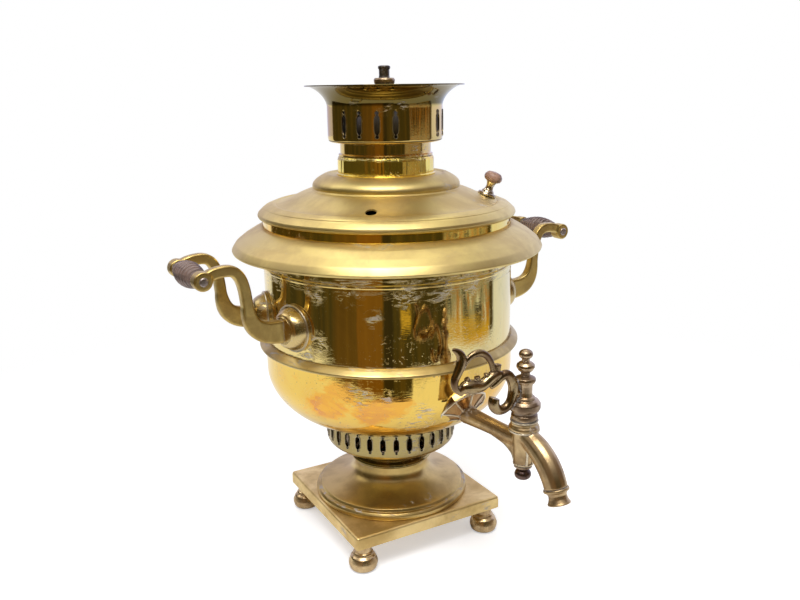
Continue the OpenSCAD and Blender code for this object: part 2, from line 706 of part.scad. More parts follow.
module flange_solid() {
    face = flange_r * cos(22.5);
    neck = tube_r + 1.2;
    translate([flange_reach, 0, flange_z]) rotate([0, 90 + flange_tilt, 0]) translate([0, 0, -9])
        intersection_for (i = [0 : 3]) rotate(22.5 + i * 45) rotate([90, 0, 0])
            linear_extrude(height = 60, center = true)
                polygon([[-face, 0], [face, 0], [face, 9.6], [neck, 9 + flange_h],
                    [-neck, 9 + flange_h], [-face, 9.6]]);
}

module tap_flange() color(dark_brass) difference() {
    at_tap() flange_solid();
    turned(concat([[0, bowl_z - 1], [fire_r, bowl_z - 1]],
        inset(bowl_profile(), -nest_fit), [[0, bowl_top]]));
    tap_way(nest_fit);
    translate([0, -flange_reach, tube_z]) rotate([90, 0, 0])
        translate([0, 0, 6]) cylinder(r = tube_r + nest_fit, h = 40);
}

module tap_body() color(dark_brass) difference() {
    at_tap() {
        along([flange_reach + 6.2, tube_z], 0, tap_reach - flange_reach - 6.2, tube_r);
        along([flange_reach - 14, tube_z], 0, 22, tenon_r);
        translate([tap_reach, 0, barrel_z])
            cylinder(r1 = barrel_r[0], r2 = barrel_r[1], h = collar_z - barrel_z + 0.5);
        translate([tap_reach, 0, collar_z]) turned([[0, 0], [9.6, 0], [11.6, 1.4], [12, 3.2],
            [11.2, 4.8], [10.2, 5.6], [10.6, 7.2], [9.8, collar_top - collar_z], [0, collar_top - collar_z]]);
        spout_bow(spout_r, spout_start);
        along(nozzle_from - 2 * nozzle_way, spout_end, socket_l + 2, socket_r);
        rotate([90, 0, 0]) linear_extrude(height = 8, center = true)
            polygon(concat([[tap_reach - 2, tube_z - 3], [tap_reach - 34, tube_z - 5.5]],
                curve([tap_reach - 34, tube_z - 5.5], [tap_reach - 18, tube_z - 7.5],
                      [tap_reach - 10, tube_z - 12], [tap_reach - 7, barrel_z + 1], 8)));
    }
    at_tap() {
        along([flange_reach - 15, tube_z], 0, tap_reach - flange_reach + 24, water_r);
        translate([tap_reach, 0, barrel_z - 1]) cylinder(r1 = plug_r - plug_taper + turn_fit,
            r2 = plug_r + turn_fit, h = collar_top - barrel_z + 2);
        spout_bow(spout_way_r, spout_start + 6);
        along(nozzle_from - 3 * nozzle_way, spout_end, socket_l + 5, spout_way_r);
    }
}

module tap_nozzle() color(dark_brass) at_tap()
    translate([nozzle_from[0], 0, nozzle_from[1]]) rotate([0, 90 + spout_end, 0])
        turned([[socket_r + nest_fit, 0], [spout_r + 1, 0], [spout_r + 1, 2], [nozzle_r - 0.4, 3.2],
            [nozzle_r - 1.2, 5], [nozzle_r - 1, 7.4], [nozzle_r, nozzle_lip_z - 1.2], [nozzle_lip_r, nozzle_lip_z],
            [nozzle_r + 0.2, nozzle_l], [mouth_r, nozzle_l], [mouth_r, socket_l + nest_fit],
            [socket_r + nest_fit, socket_l + nest_fit]]);

module tap_plug() color(dark_brass) on_plug() difference() {
    end_z = barrel_z - plug_tail;
    union() {
        translate([0, 0, barrel_z - 0.6]) cylinder(r1 = plug_r - plug_taper, r2 = plug_r,
            h = collar_top - barrel_z + 0.6 + rest_gap);
        translate([0, 0, end_z]) cylinder(r = 2.4, h = 8);
        translate([0, 0, plug_z]) turned([[0, 0], [9.6, 0], [10.2, 1.4], [10.2, 4], [8.9, 5.4], [8.9, 6.6],
            [11.2, 7.6], [12.2, 9.6], [12.2, 13.4], [10.4, 15.8], [7.8, 16.4], [7.6, 18.4], [column_r, 18.8],
            [column_r, finial_z - plug_z], [0, finial_z - plug_z]]);
    }
    translate([0, 0, tube_z]) rotate(-branch_turn - 90) rotate([0, 90, 0])
        cylinder(r = water_r - 0.2, h = 30, center = true);
    rotate(-branch_turn - 90) translate([0, 0, branch_pin_z]) rotate([0, 90, 0]) translate([0, 0, 2.4])
        cylinder(r = branch_pin_r + nest_fit, h = 12);
    translate([0, 0, finial_z - finial_stud_h - 0.2]) cylinder(r = 2.5 + nest_fit, h = 6);
}

module tap_finial() color(dark_brass) on_plug() translate([0, 0, finial_z]) turned(concat(
    [[0, -finial_stud_h], [2.5, -finial_stud_h], [2.5, 0], [7.2, 0], [8, 1.6], [7.8, 3.6], [6, 4.8], [3.6, 6], [3.6, 8.2],
     [5.6, 9.8], [7, 12.2], [7, 13.6], [5.4, 16], [3.1, 17], [3.1, 19]],
    curve([3.1, 19.4], [6, 21], [6.2, 26], [0, 26.4], 8)));

// The branch lies in an upright plane through the plug's axis: [distance, height above tube_z].
module limb(points, w0, w1, thick) {
    n = len(points) - 1;
    rotate([90, 0, 0]) linear_extrude(height = thick, center = true)
        polygon(ribbon(points, [for (i = [0 : n]) w0 + (w1 - w0) * i / n]));
}

module tap_branch() color(dark_brass) on_plug() rotate(-branch_turn - 90)
    translate([0, 0, tube_z]) union() {
        translate([0, 0, branch_pin_z - tube_z]) rotate([0, 90, 0]) {
            translate([0, 0, 2.6]) cylinder(r = branch_pin_r, h = 8);
            translate([0, 0, column_r + nest_fit]) cylinder(r = 3.4, h = 4.6);
        }
        limb(concat(curve([26.6, 40], [26.5, 30], [15, 27], [12.8, 39], 8),
            tail(curve([12.8, 39], [10.8, 52], [17, 64], [29, 51], 10))), 6.2, 4.4, branch_t);
        limb(curve([22.5, 58.6], [30, 58], [38, 49], [54, 53], 8), 6, 9, branch_t + 2);
        limb(curve([53, 52], [54.6, 50.5], [56, 49], [57, 46.5], 3), 5, 3, branch_t);
        limb([[49.6, 53], [49.4, 46.5]], 4.4, 3, branch_t);
        limb([[25, 58], [25, 68]], 4, 5.4, branch_t);
        limb(concat(curve([29, 58], [29.5, 72], [37, 79.6], [45, 78], 8),
            tail(curve([45, 78], [51, 76.6], [52, 70], [57.5, 63], 6))), 4, 4, branch_t);
        limb(concat(curve([59, 83], [51, 80], [56, 70], [59.6, 64], 7),
            tail(curve([59.6, 64], [63, 58], [61, 54], [55, 49], 6))), 4.6, 4.4, branch_t);
    }

module tap_washer() color(brass) on_plug() translate([0, 0, barrel_z - 1.9]) difference() {
    cylinder(r = 7, h = 1.2);
    translate([0, 0, -1]) cylinder(r = 2.4 + nest_fit, h = 4);
}

module tap_nut() color(iron) on_plug() translate([0, 0, barrel_z - nut_drop]) turned(concat(
    [[0, 0], [2.6, 0.1]], curve([2.6, 0.1], [7.6, 0.9], [7.4, 6.2], [4.2, 8], 7),
    [[3.8, nut_drop - 2], [2.4 + nest_fit, nut_drop - 2], [2.4 + nest_fit, nut_drop - plug_tail - nest_fit],
     [0, nut_drop - plug_tail - nest_fit]]));

translate([0, axis_y, 0]) {
    base_plate();
    foot(-1, -1);  // foot_front_left
    foot(1, -1);  // foot_front_right
    foot(-1, 1);  // foot_rear_left
    foot(1, 1);  // foot_rear_right
    pedestal();
    pedestal_stem();
    neck_ring();
    air_gallery();
    fire_grate();
    grate_ring();
    fire_tube();
    fire_cone();
    chimney_pipe();
    bowl_floor();
    bowl_turn();
    lower_bowl();
    waist_band();
    body_wall();
    shoulder_under();
    shoulder_ring();
    collar_band();
    lid_rim();
    lid();
    lid_bulge();
    lid_neck();
    knob_base();
    knob_head();
    knob_nut();
    crown_neck();
    crown_floor();
    crown_drum();
    crown_rim();
    chimney_cap();
    cap_knob();
    rosette(-1, -1);  // rosette_left_front
    rosette(-1, 1);  // rosette_left_rear
    rosette(1, -1);  // rosette_right_front
    rosette(1, 1);  // rosette_right_rear
    arm(-1, -1);  // arm_left_front
    arm(-1, 1);  // arm_left_rear
    arm(1, -1);  // arm_right_front
    arm(1, 1);  // arm_right_rear
    arm_nuts();
    grip_rod(-1);  // grip_rod_left
    grip_rod(1);  // grip_rod_right
    grip(-1);  // grip_left
    grip(1);  // grip_right
    tap_flange();
    tap_body();
    tap_nozzle();
    tap_plug();
    tap_finial();
    tap_branch();
    tap_washer();
    tap_nut();
}
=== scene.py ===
from math import asin, atan2, ceil, cos, hypot, pi, radians, sin, sqrt

import bmesh
import bpy
from mathutils import Matrix, Vector


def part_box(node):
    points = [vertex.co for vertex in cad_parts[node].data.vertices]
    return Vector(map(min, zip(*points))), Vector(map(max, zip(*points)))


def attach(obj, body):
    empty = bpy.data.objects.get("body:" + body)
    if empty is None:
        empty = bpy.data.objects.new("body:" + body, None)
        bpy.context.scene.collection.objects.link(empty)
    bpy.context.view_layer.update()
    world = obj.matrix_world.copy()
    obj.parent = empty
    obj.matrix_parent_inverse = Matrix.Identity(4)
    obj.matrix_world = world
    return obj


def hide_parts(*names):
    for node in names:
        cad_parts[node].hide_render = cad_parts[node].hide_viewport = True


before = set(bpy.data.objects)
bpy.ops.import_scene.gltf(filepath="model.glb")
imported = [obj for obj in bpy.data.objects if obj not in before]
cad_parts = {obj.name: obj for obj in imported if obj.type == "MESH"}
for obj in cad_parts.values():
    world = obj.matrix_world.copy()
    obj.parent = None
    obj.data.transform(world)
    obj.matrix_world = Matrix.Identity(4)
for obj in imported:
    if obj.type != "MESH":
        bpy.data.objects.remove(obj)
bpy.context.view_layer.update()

scene = bpy.context.scene
scene.view_settings.view_transform = "Standard"
MM = 0.001

# Everything is drawn round the axis of the round body, and then moved to where that axis stands.
wall_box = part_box("body_wall")
axis = Vector((0, (wall_box[0].y + wall_box[1].y) / 2, 0))


# ---- Camera: as high as the crown's rim, tilted down, a tenth of a turn to the left of the tap ----
camera_at = Vector((-0.4073, -0.5899, 0.4101))
camera_heading = radians(35.485)
camera_pitch = 0.257
camera_roll = 0.0144
camera_lens = 36.11

level_forward = Vector((sin(camera_heading), cos(camera_heading), 0))
level_right = Vector((cos(camera_heading), -sin(camera_heading), 0))
up = Vector((0, 0, 1))


def place_camera():
    forward = cos(camera_pitch) * level_forward - sin(camera_pitch) * up
    upright = level_right.cross(forward)
    right = cos(camera_roll) * level_right - sin(camera_roll) * upright
    top = sin(camera_roll) * level_right + cos(camera_roll) * upright
    camera = bpy.data.objects.new("camera", bpy.data.cameras.new("camera"))
    camera.data.sensor_width = 36
    camera.data.lens = camera_lens
    camera.data.clip_start = 0.01
    facing = Matrix((right, top, -forward)).transposed().to_4x4()
    camera.matrix_world = Matrix.Translation(axis + camera_at) @ facing
    scene.collection.objects.link(camera)
    scene.camera = camera


place_camera()


# ---- Nodes of a material ----
tree = None


def start_nodes(owner):
    """Empties the node tree of a material or a world. All nodes made afterwards go into this tree."""
    global tree
    owner.use_nodes = True
    tree = owner.node_tree
    tree.nodes.clear()


def add(kind, inputs=None, **settings):
    """A new node. An input takes a value or another node's output."""
    made = tree.nodes.new("ShaderNode" + kind)
    for key, value in settings.items():
        setattr(made, key, value)
    for key, value in (inputs or {}).items():
        if isinstance(value, bpy.types.NodeSocket):
            tree.links.new(value, made.inputs[key])
        else:
            made.inputs[key].default_value = value
    return made


def math(operation, a, b=0.0):
    return add("Math", {0: a, 1: b}, operation=operation).outputs[0]


def times(a, b):
    return math("MULTIPLY", a, b)


def plus(a, b):
    return math("ADD", a, b)


def less(a, b):
    return math("SUBTRACT", a, b)


def most(a, b):
    return math("MAXIMUM", a, b)


def span(a, b):
    """Length of the longest side of a right-angled triangle."""
    return math("SQRT", plus(times(a, a), times(b, b)))


def ramp(value, low, high, start=0.0, end=1.0):
    """start below low, end above high, and a soft passage between them."""
    made = add("MapRange", {0: value, 1: low, 2: high, 3: start, 4: end}, interpolation_type="SMOOTHSTEP")
    return made.outputs[0]


def mix(factor, a, b):
    made = tree.nodes.new("ShaderNodeMix")
    made.data_type = "RGBA"
    for socket, value in ((made.inputs[0], factor), (made.inputs[6], a), (made.inputs[7], b)):
        if isinstance(value, bpy.types.NodeSocket):
            tree.links.new(value, socket)
        else:
            socket.default_value = value
    return made.outputs[2]


def shade(factor, a, b):
    return add("MixShader", {0: factor, 1: a, 2: b}).outputs[0]


def rgb(red, green, blue):
    return (red, green, blue, 1)


def grain(place, scale, stretch=(1, 1, 1), detail=4.0, rough=0.55, twist=0.0, offset=(0, 0, 0)):
    """Noise of about `scale` waves a metre, drawn out along an axis by a small stretch value."""
    mapped = add("Mapping", {"Vector": place, "Scale": stretch, "Location": offset}).outputs[0]
    return add("TexNoise", {
        "Vector": mapped, "Scale": scale, "Detail": detail, "Roughness": rough,
        "Distortion": twist}).outputs["Fac"]


def axes(vector):
    return add("SeparateXYZ", {0: vector}).outputs


def round_axis():
    """A point's place, counted from the axis of the round body."""
    place = add("TexCoord").outputs["Object"]
    return add("VectorMath", {0: place, 1: axis}, operation="SUBTRACT").outputs[0]


# ---- The room that the metal mirrors: white behind and beside, dim where the camera stands ----
# Ways round the object are counted in degrees from the camera's side, to the right as positive.
dim_side = (-127, 106)
bench = (-46, -25)
door = (-25, -3.5)
door_post = (-2.5, 4)
window = (10.5, 19)
bright_sheet = (19, 40)
corner_side = (50, 100)
# Distances from the axis, in metres, of the parts that show on the floor.
window_away = (0.88, 1.03)
bright_sheet_away = (0.50, 0.63)
corner_away = (0.72, 0.84)
table_ahead = 0.52
table_left = 0.77
table_right = 0.735
wood_brown = (0.30, 0.135, 0.018, 1)
lamp_yellow = (0.62, 0.42, 0.06, 1)
grey_cloth = (0.30, 0.27, 0.27, 1)
grey_green = (0.34, 0.35, 0.30, 1)
olive_dark = (0.055, 0.046, 0.016, 1)
olive_light = (0.100, 0.072, 0.020, 1)
near_black = (0.020, 0.016, 0.010, 1)


def between(value, low, high, soft):
    """1 between low and high, and 0 outside, with soft edges."""
    rise = ramp(value, low - soft, low + soft)
    fall = ramp(value, high - soft, high + soft, 1.0, 0.0)
    return times(rise, fall)


def surround(way):
    """Angle round the object, distances towards the camera and to the right, and height."""
    x, y, z = axes(way)
    ahead = plus(times(x, -level_forward.x), times(y, -level_forward.y))
    aside = plus(times(x, level_right.x), times(y, level_right.y))
    angle = times(math("ARCTAN2", aside, ahead), 180 / pi)
    return angle, ahead, aside, z


def dim_room(angle, z, far=None):
    """Colour of the dim side of the room: olive dark, with a bench, a door, a window and a heaped corner."""
    course = times(angle, 0.02)
    line = add("CombineXYZ", {0: course, 1: times(z, 0.3)}).outputs[0]
    tone = mix(ramp(grain(line, 7, detail=4.0, rough=0.6), 0.42, 0.66), olive_dark, olive_light)
    tone = mix(times(between(angle, *bench, 4), 0.25), tone, wood_brown)
    tone = mix(times(between(angle, *door, 1.2), 0.55), tone, wood_brown)
    tone = mix(times(between(angle, *door_post, 0.8), 0.55), tone, near_black)
    corner = between(angle, *corner_side, 2)
    clutter = grain(line, 30, detail=2.0, offset=(3, 1, 0))
    tone = mix(times(corner, ramp(clutter, 0.50, 0.54)), tone, wood_brown)
    tone = mix(times(corner, ramp(clutter, 0.60, 0.63)), tone, grey_cloth)
    tone = mix(times(corner, ramp(clutter, 0.38, 0.42, 1.0, 0.0)), tone, near_black)
    if far:
        pane = times(between(angle, *window, 1.0), between(far, *window_away, 0.02))
        tone = mix(pane, tone, lamp_yellow)
        spread = add("CombineXYZ", {0: course, 1: times(far, 0.7)}).outputs[0]
        things = grain(spread, 7, detail=2.0, offset=(5, 2, 0))
        pieces = grain(spread, 12, detail=2.0, offset=(1, 7, 0))
        heap = mix(ramp(things, 0.52, 0.56), grey_green, rgb(0.45, 0.22, 0.05))
        heap = mix(ramp(things, 0.42, 0.46, 1.0, 0.0), heap, rgb(0.07, 0.065, 0.05))
        heap = mix(ramp(pieces, 0.58, 0.62), heap, rgb(0.66, 0.70, 0.74))
        tone = mix(corner, tone, heap)
        lower = times(corner, between(far, *corner_away, 0.03))
        tone = mix(lower, tone, lamp_yellow)
    return tone


def make_world():
    world = bpy.data.worlds.new("studio")
    scene.world = world
    start_nodes(world)
    angle, _, aside, z = surround(add("TexCoord").outputs["Generated"])
    tone = dim_room(angle, z)
    ceiling = ramp(z, 0.50, 0.85)
    dim = times(between(angle, *dim_side, 2.5), less(1.0, ceiling))
    daylight = mix(ramp(aside, -0.6, 0.6), rgb(0.62, 0.60, 0.86), rgb(0.86, 0.90, 1.28))
    backdrop = mix(ceiling, daylight, rgb(0.64, 0.61, 0.57))
    mirrored = mix(dim, backdrop, tone)
    rays = add("LightPath").outputs
    mirror = add("Background", {"Color": mirrored, "Strength": 1.0}).outputs[0]
    fill = add("Background", {"Color": rgb(0.62, 0.62, 0.64), "Strength": 0.9}).outputs[0]
    white = add("Background", {"Color": rgb(1, 1, 1), "Strength": 1.0}).outputs[0]
    seen = shade(rays["Is Glossy Ray"], fill, mirror)
    seen = shade(most(rays["Is Camera Ray"], rays["Is Transmission Ray"]), seen, white)
    add("OutputWorld", {"Surface": seen})


def make_floor():
    floor = bpy.data.objects.new("floor", bpy.data.meshes.new("floor"))
    bm = bmesh.new()
    bmesh.ops.create_grid(bm, x_segments=1, y_segments=1, size=6)
    bm.to_mesh(floor.data)
    bm.free()
    scene.collection.objects.link(floor)
    paper = bpy.data.materials.new("white_paper")
    start_nodes(paper)
    place = round_axis()
    angle, ahead, aside, z = surround(place)
    far = span(ahead, aside)
    tone = dim_room(angle, z, far)
    depth = math("POWER", math("DIVIDE", most(ahead, 0.0), table_ahead), 2.0)
    left = math("DIVIDE", most(times(aside, -1.0), 0.0), table_left)
    right = math("DIVIDE", most(aside, 0.0), table_right)
    reach = plus(depth, math("POWER", left, 2.0))
    reach = plus(reach, math("POWER", right, 8.0))
    reach = plus(reach, times(grain(place, 5, detail=2.0), 0.25))
    past = times(ramp(reach, 1.10, 1.22), between(angle, *dim_side, 2.5))
    sheet_of_paper = times(between(angle, *bright_sheet, 1.0), between(far, *bright_sheet_away, 0.01))
    past = times(past, less(1.0, sheet_of_paper))
    lit = add("BsdfDiffuse", {"Color": rgb(0.86, 0.86, 0.87)}).outputs[0]
    glow = add("Emission", {"Color": rgb(1, 1, 1), "Strength": 0.42}).outputs[0]
    both = add("AddShader", {0: lit, 1: glow}).outputs[0]
    white = add("Emission", {"Color": rgb(1, 1, 1), "Strength": 1.0}).outputs[0]
    open_floor = shade(ramp(far, 0.30, 0.75), both, white)
    cool = mix(ramp(aside, 0.25, 0.85), rgb(1.0, 1.0, 1.0), rgb(0.84, 0.94, 1.22))
    mirrored_paper = add("Emission", {"Color": cool, "Strength": 0.95}).outputs[0]
    mirrored_paper = shade(ramp(far, 0.10, 0.40), lit, mirrored_paper)
    beyond = add("Emission", {"Color": tone, "Strength": 1.0}).outputs[0]
    rays = add("LightPath").outputs
    seen = shade(rays["Is Glossy Ray"], lit, shade(past, mirrored_paper, beyond))
    seen = shade(most(rays["Is Camera Ray"], rays["Is Transmission Ray"]), seen, open_floor)
    add("OutputMaterial", {"Surface": seen})
    floor.data.materials.append(paper)


def lamp(name, toward, distance, size, power):
    """A soft box that faces the middle of the object from the given direction."""
    light = bpy.data.lights.new(name, "AREA")
    light.shape = "RECTANGLE"
    light.size, light.size_y = size
    light.energy = power
    holder = bpy.data.objects.new(name, light)
    aim = Vector(toward).normalized()
    holder.location = axis + Vector((0, 0, 0.22)) + distance * aim
    holder.rotation_euler = aim.to_track_quat("Z", "Y").to_euler()
    scene.collection.objects.link(holder)


make_world()
make_floor()
lamp("soft_box_above", -0.50 * level_forward - 0.05 * level_right + 0.90 * up, 1.5, (0.95, 0.60), 15)
lamp("soft_box_left", 0.25 * level_forward - 0.9 * level_right + 0.75 * up, 1.7, (0.7, 0.9), 3.2)
lamp("soft_box_back", 0.40 * level_forward - 0.05 * level_right + 0.92 * up, 1.8, (1.1, 0.5), 6)


# ---- Finishes ----
class Finish:
    """A material whose metal, tarnish and dried polish all follow the object's own axes."""

    def __init__(self, name, slot):
        self.slot = slot
        self.material = bpy.data.materials.new(name)
        start_nodes(self.material)
        self.place = round_axis()

    def close(self, base, metal, rough, bumps):
        """bumps is a list of (height, strength, distance in metres)."""
        normal = None
        for height, strength, distance in bumps:
            inputs = {"Height": height, "Strength": strength, "Distance": distance}
            if normal:
                inputs["Normal"] = normal
            normal = add("Bump", inputs).outputs[0]
        inputs = {"Base Color": base, "Metallic": metal, "Roughness": rough}
        if normal:
            inputs["Normal"] = normal
        skin = add("BsdfPrincipled", inputs)
        add("OutputMaterial", {"Surface": skin.outputs[0]})
        return self


polish_grey = rgb(0.60, 0.57, 0.55)
polish_deep = rgb(0.34, 0.30, 0.27)
hot_orange = rgb(0.90, 0.43, 0.06)
hot_red = rgb(0.66, 0.22, 0.13)


def smears(place, spots, stroke):
    """Where dried polish was left: near each spot (x, y, z, radius in mm), broken up by strokes."""
    near = None
    for x, y, z, reach in spots:
        away = add(
            "VectorMath", {0: place, 1: (x * MM, y * MM, z * MM)}, operation="DISTANCE").outputs["Value"]
        this = ramp(away, 0.25 * reach * MM, reach * MM, 1.0, 0.0)
        near = this if near is None else most(near, this)
    return times(near, stroke)


def dusted(place, film, base):
    """Colour and metalness under a film of dried polish."""
    dust = mix(ramp(grain(place, 130, detail=5.0), 0.35, 0.65), polish_deep, polish_grey)
    return mix(film, base, dust), less(1.0, times(film, 0.8))


def band(height, low, high, amount):
    """amount in the middle of a band between two heights in mm, and 0 past its edges."""
    middle, half = (low + high) / 2 * MM, (high - low) / 2 * MM
    away = math("ABSOLUTE", less(height, middle))
    return ramp(away, 0.4 * half, half, amount, 0.0)


def creases(reach):
    """1 deep in a crease and 0 on an open face."""
    open_air = add("AmbientOcclusion", {"Distance": reach * MM}, samples=6).outputs["AO"]
    return ramp(open_air, 0.35, 0.8, 1.0, 0.0)


def polished(
        name, gold, amber, olive, spots=(), bands=(), heat=(), crease=0.0, mirror=0.025, flutes=0.0,
        fold=None, soot_and_shade_inside=None):
    """Mirror-bright spun brass. Its amber patches, olive blotches and upright amber streaks are partly
    stains and partly painted reflection of the dim room. bands are (z low, z high, amount) in mm of streaky
    polish, heat lists spots of orange stain, crease is how much polish its corners hold, mirror its least
    roughness and flutes the depth of its upright waves in mm. Above the height fold the metal is dark, and
    the last argument gives the (radius, z low, z high) of an inside painted near-black: soot and painted
    shade."""
    made = Finish(name, "polished_brass")
    place = made.place
    x, y, height = axes(place)
    stain = grain(place, 26, (1, 1, 0.6), detail=7.0, rough=0.62, twist=0.6)
    patch = grain(place, 9, (1, 1, 0.8), detail=4.0, twist=0.4, offset=(1.3, 0.4, 0.2))
    upright = grain(place, 70, (1, 1, 0.06), detail=3.0)
    # Painted reflection in the colour: the amber patches, olive blotches and upright amber streaks are
    # partly stains and partly the dim room mirrored in the brass.
    base = mix(ramp(patch, 0.50, 0.70), gold, amber)
    base = mix(times(ramp(stain, 0.52, 0.72), 0.75), base, olive)
    base = mix(times(ramp(upright, 0.5, 0.8), 0.35), base, amber)
    if heat:
        edge = grain(place, 34, (0.7, 0.7, 1.3), detail=6.0, rough=0.6, twist=0.5, offset=(2.2, 0.3, 1.1))
        level = plus(smears(place, heat, 0.22), edge)
        base = mix(times(ramp(level, 0.61, 0.71), 0.75), base, hot_orange)
        core = times(between(level, 0.72, 0.80, 0.02), ramp(patch, 0.45, 0.6, 0.0, 0.45))
        base = mix(core, base, hot_red)
    if fold:
        base = mix(ramp(height, (fold - 1) * MM, (fold + 2) * MM, 0.0, 0.92), base, rgb(0.11, 0.08, 0.02))
    strokes = ramp(grain(place, 210, (0.4, 0.4, 1.5), detail=8.0, rough=0.68, twist=1.2), 0.50, 0.60)
    strokes = times(strokes, ramp(grain(place, 55, detail=3.0), 0.40, 0.56, 0.0, 0.85))
    dots = ramp(grain(place, 420, detail=3.0), 0.62, 0.70)
    film = times(dots, ramp(patch, 0.45, 0.6, 0.0, 0.35))
    if spots:
        film = most(film, smears(place, spots, strokes))
    for low, high, amount in bands:
        level = grain(
            place, 170, (0.25, 0.25, 2.2), detail=8.0, rough=0.68, twist=1.2, offset=(0, 0, low * MM))
        this = times(band(height, low, high, amount), ramp(level, 0.48, 0.60))
        film = most(film, this)
    if crease:
        deep = times(creases(3.0), ramp(grain(place, 160), 0.35, 0.6, 0.0, crease))
        film = most(film, deep)
    base, metal = dusted(place, film, base)
    haze = ramp(grain(place, 36, detail=6.0, rough=0.65), 0.45, 0.75, mirror, mirror + 0.06)
    rough = plus(haze, times(film, 0.42))
    # The inside of the drum is painted near-black: soot, and painted shade for the dark inside of the crown.
    if soot_and_shade_inside:
        reach, low, high = soot_and_shade_inside
        from_axis = span(x, y)
        inside = times(
            math("LESS_THAN", from_axis, reach * MM), between(height, low * MM, high * MM, 0.0005))
        base = mix(inside, base, rgb(0.006, 0.004, 0.002))
        metal = less(metal, times(inside, 0.9))
        rough = plus(rough, times(inside, 0.5))
    hair = grain(place, 120, (1.4, 1.4, 0.35), detail=3.0, twist=2.5, offset=(4.1, 0.2, 3.3))
    hair = times(between(hair, 0.497, 0.503, 0.003), ramp(patch, 0.50, 0.60, 0.0, 0.55))
    base = mix(hair, base, rgb(0.80, 0.76, 0.66))
    swell = grain(place, 17, detail=1.5, rough=0.4)
    fine = grain(place, 600, (0.3, 0.3, 2.0), detail=2.0)
    bumps = [(swell, 1.0, 0.0009), (fine, 0.10, 0.0002), (film, 0.5, 0.0002)]
    if flutes:
        bumps.append((upright, 1.0, flutes * MM))
    return made.close(base, metal, rough, bumps)


def satin(name, pale, dull, spots=(), bands=(), gloss=0.38):
    """Brushed brass with fine rings round the axis and a few worn places."""
    made = Finish(name, "satin_brass")
    place = made.place
    x, y, z = axes(place)
    from_axis = span(x, y)
    rings = add("CombineXYZ", {0: from_axis, 1: z}).outputs[0]
    turned = grain(rings, 900, detail=3.0)
    cloud = grain(place, 22, detail=6.0, rough=0.6, twist=0.3)
    fleck = grain(place, 260, detail=4.0)
    base = mix(ramp(cloud, 0.38, 0.68), pale, dull)
    base = mix(ramp(fleck, 0.64, 0.76, 0.0, 0.45), base, dull)
    strokes = ramp(grain(place, 90, (0.5, 0.5, 2.0), detail=8.0, rough=0.7, twist=1.2), 0.50, 0.62)
    film = ramp(grain(place, 520, detail=2.0), 0.70, 0.78, 0.0, 0.35)
    if spots:
        film = most(film, smears(place, spots, strokes))
    for low, high, amount in bands:
        this = times(band(z, low, high, amount), strokes)
        film = most(film, this)
    base, metal = dusted(place, film, base)
    rough = plus(ramp(cloud, 0.3, 0.7, gloss, gloss + 0.09), times(film, 0.3))
    swell = grain(place, 15, detail=1.5, rough=0.4)
    return made.close(base, metal, rough, [
        (swell, 1.0, 0.0006), (turned, 0.05, 0.0001), (film, 0.4, 0.0002)])


def aged(name, light, dark, crease=0.9, gloss=0.22, slot="aged_brass", spots=(), bite=1.0):
    """Cast brass gone brown, with dried polish in its creases."""
    made = Finish(name, slot)
    place = made.place
    cloud = grain(place, 60, detail=6.0, rough=0.6, twist=0.5)
    broad = grain(place, 22, detail=3.0, offset=(0.7, 2.1, 0.4))
    pits = grain(place, 500, detail=4.0)
    base = mix(ramp(cloud, 0.35, 0.68), light, dark)
    base = mix(ramp(broad, 0.45, 0.68, 0.0, 0.5), base, dark)
    deep = creases(2.6)
    broken = ramp(grain(place, 210, detail=5.0, rough=0.7), 0.34, 0.56)
    film = times(times(deep, broken), crease)
    if spots:
        strokes = ramp(grain(place, 150, detail=8.0, rough=0.72, twist=1.4), 0.48, 0.58)
        film = most(film, smears(place, spots, strokes))
    # Deep in creases the colour goes towards near-black: partly grime and partly painted shade.
    base = mix(times(deep, 0.55), base, rgb(0.05, 0.035, 0.02))
    base = mix(film, base, polish_grey)
    metal = less(1.0, times(film, 0.85))
    rough = ramp(cloud, 0.3, 0.75, gloss, gloss + 0.16)
    rough = plus(rough, times(film, 0.3))
    return made.close(base, metal, rough, [
        (cloud, 0.25 * bite, 0.0006), (pits, 0.10 * bite, 0.0003), (film, 0.5, 0.0003)])


def worn_wood(name, slot, light, dark, groove):
    """Varnished wood, grain along its own length, with grey dust in the grooves."""
    made = Finish(name, slot)
    place = made.place
    lines = grain(place, 160, (1, 0.12, 1), detail=5.0, rough=0.6)
    cloud = grain(place, 55, detail=4.0)
    base = mix(ramp(lines, 0.4, 0.65), light, dark)
    base = mix(ramp(cloud, 0.5, 0.7, 0.0, 0.6), base, dark)
    deep = times(creases(1.6), ramp(grain(place, 240, detail=5.0), 0.38, 0.52))
    chalk = ramp(grain(place, 130, detail=7.0, rough=0.7, twist=0.8), 0.60, 0.66, 0.0, groove)
    film = most(times(deep, groove), chalk)
    base = mix(film, base, rgb(0.72, 0.68, 0.64))
    rough = ramp(cloud, 0.3, 0.7, 0.28, 0.45)
    rough = plus(rough, times(film, 0.3))
    return made.close(base, 0.0, rough, [(lines, 0.15, 0.0002), (film, 0.5, 0.0003)])


pale_gold = rgb(0.82, 0.65, 0.25)
dull_gold = rgb(0.64, 0.48, 0.20)


# ---- Shapes ----
def curve(a, b, c, d, steps):
    """Corners along a cubic curve from a to d."""
    points = []
    for i in range(steps + 1):
        t = i / steps
        s = 1 - t
        parts = (s ** 3, 3 * s * s * t, 3 * s * t * t, t ** 3)
        r, z = (sum(k * p[way] for k, p in zip(parts, (a, b, c, d))) for way in (0, 1))
        points.append((r, z, 0))
    return points


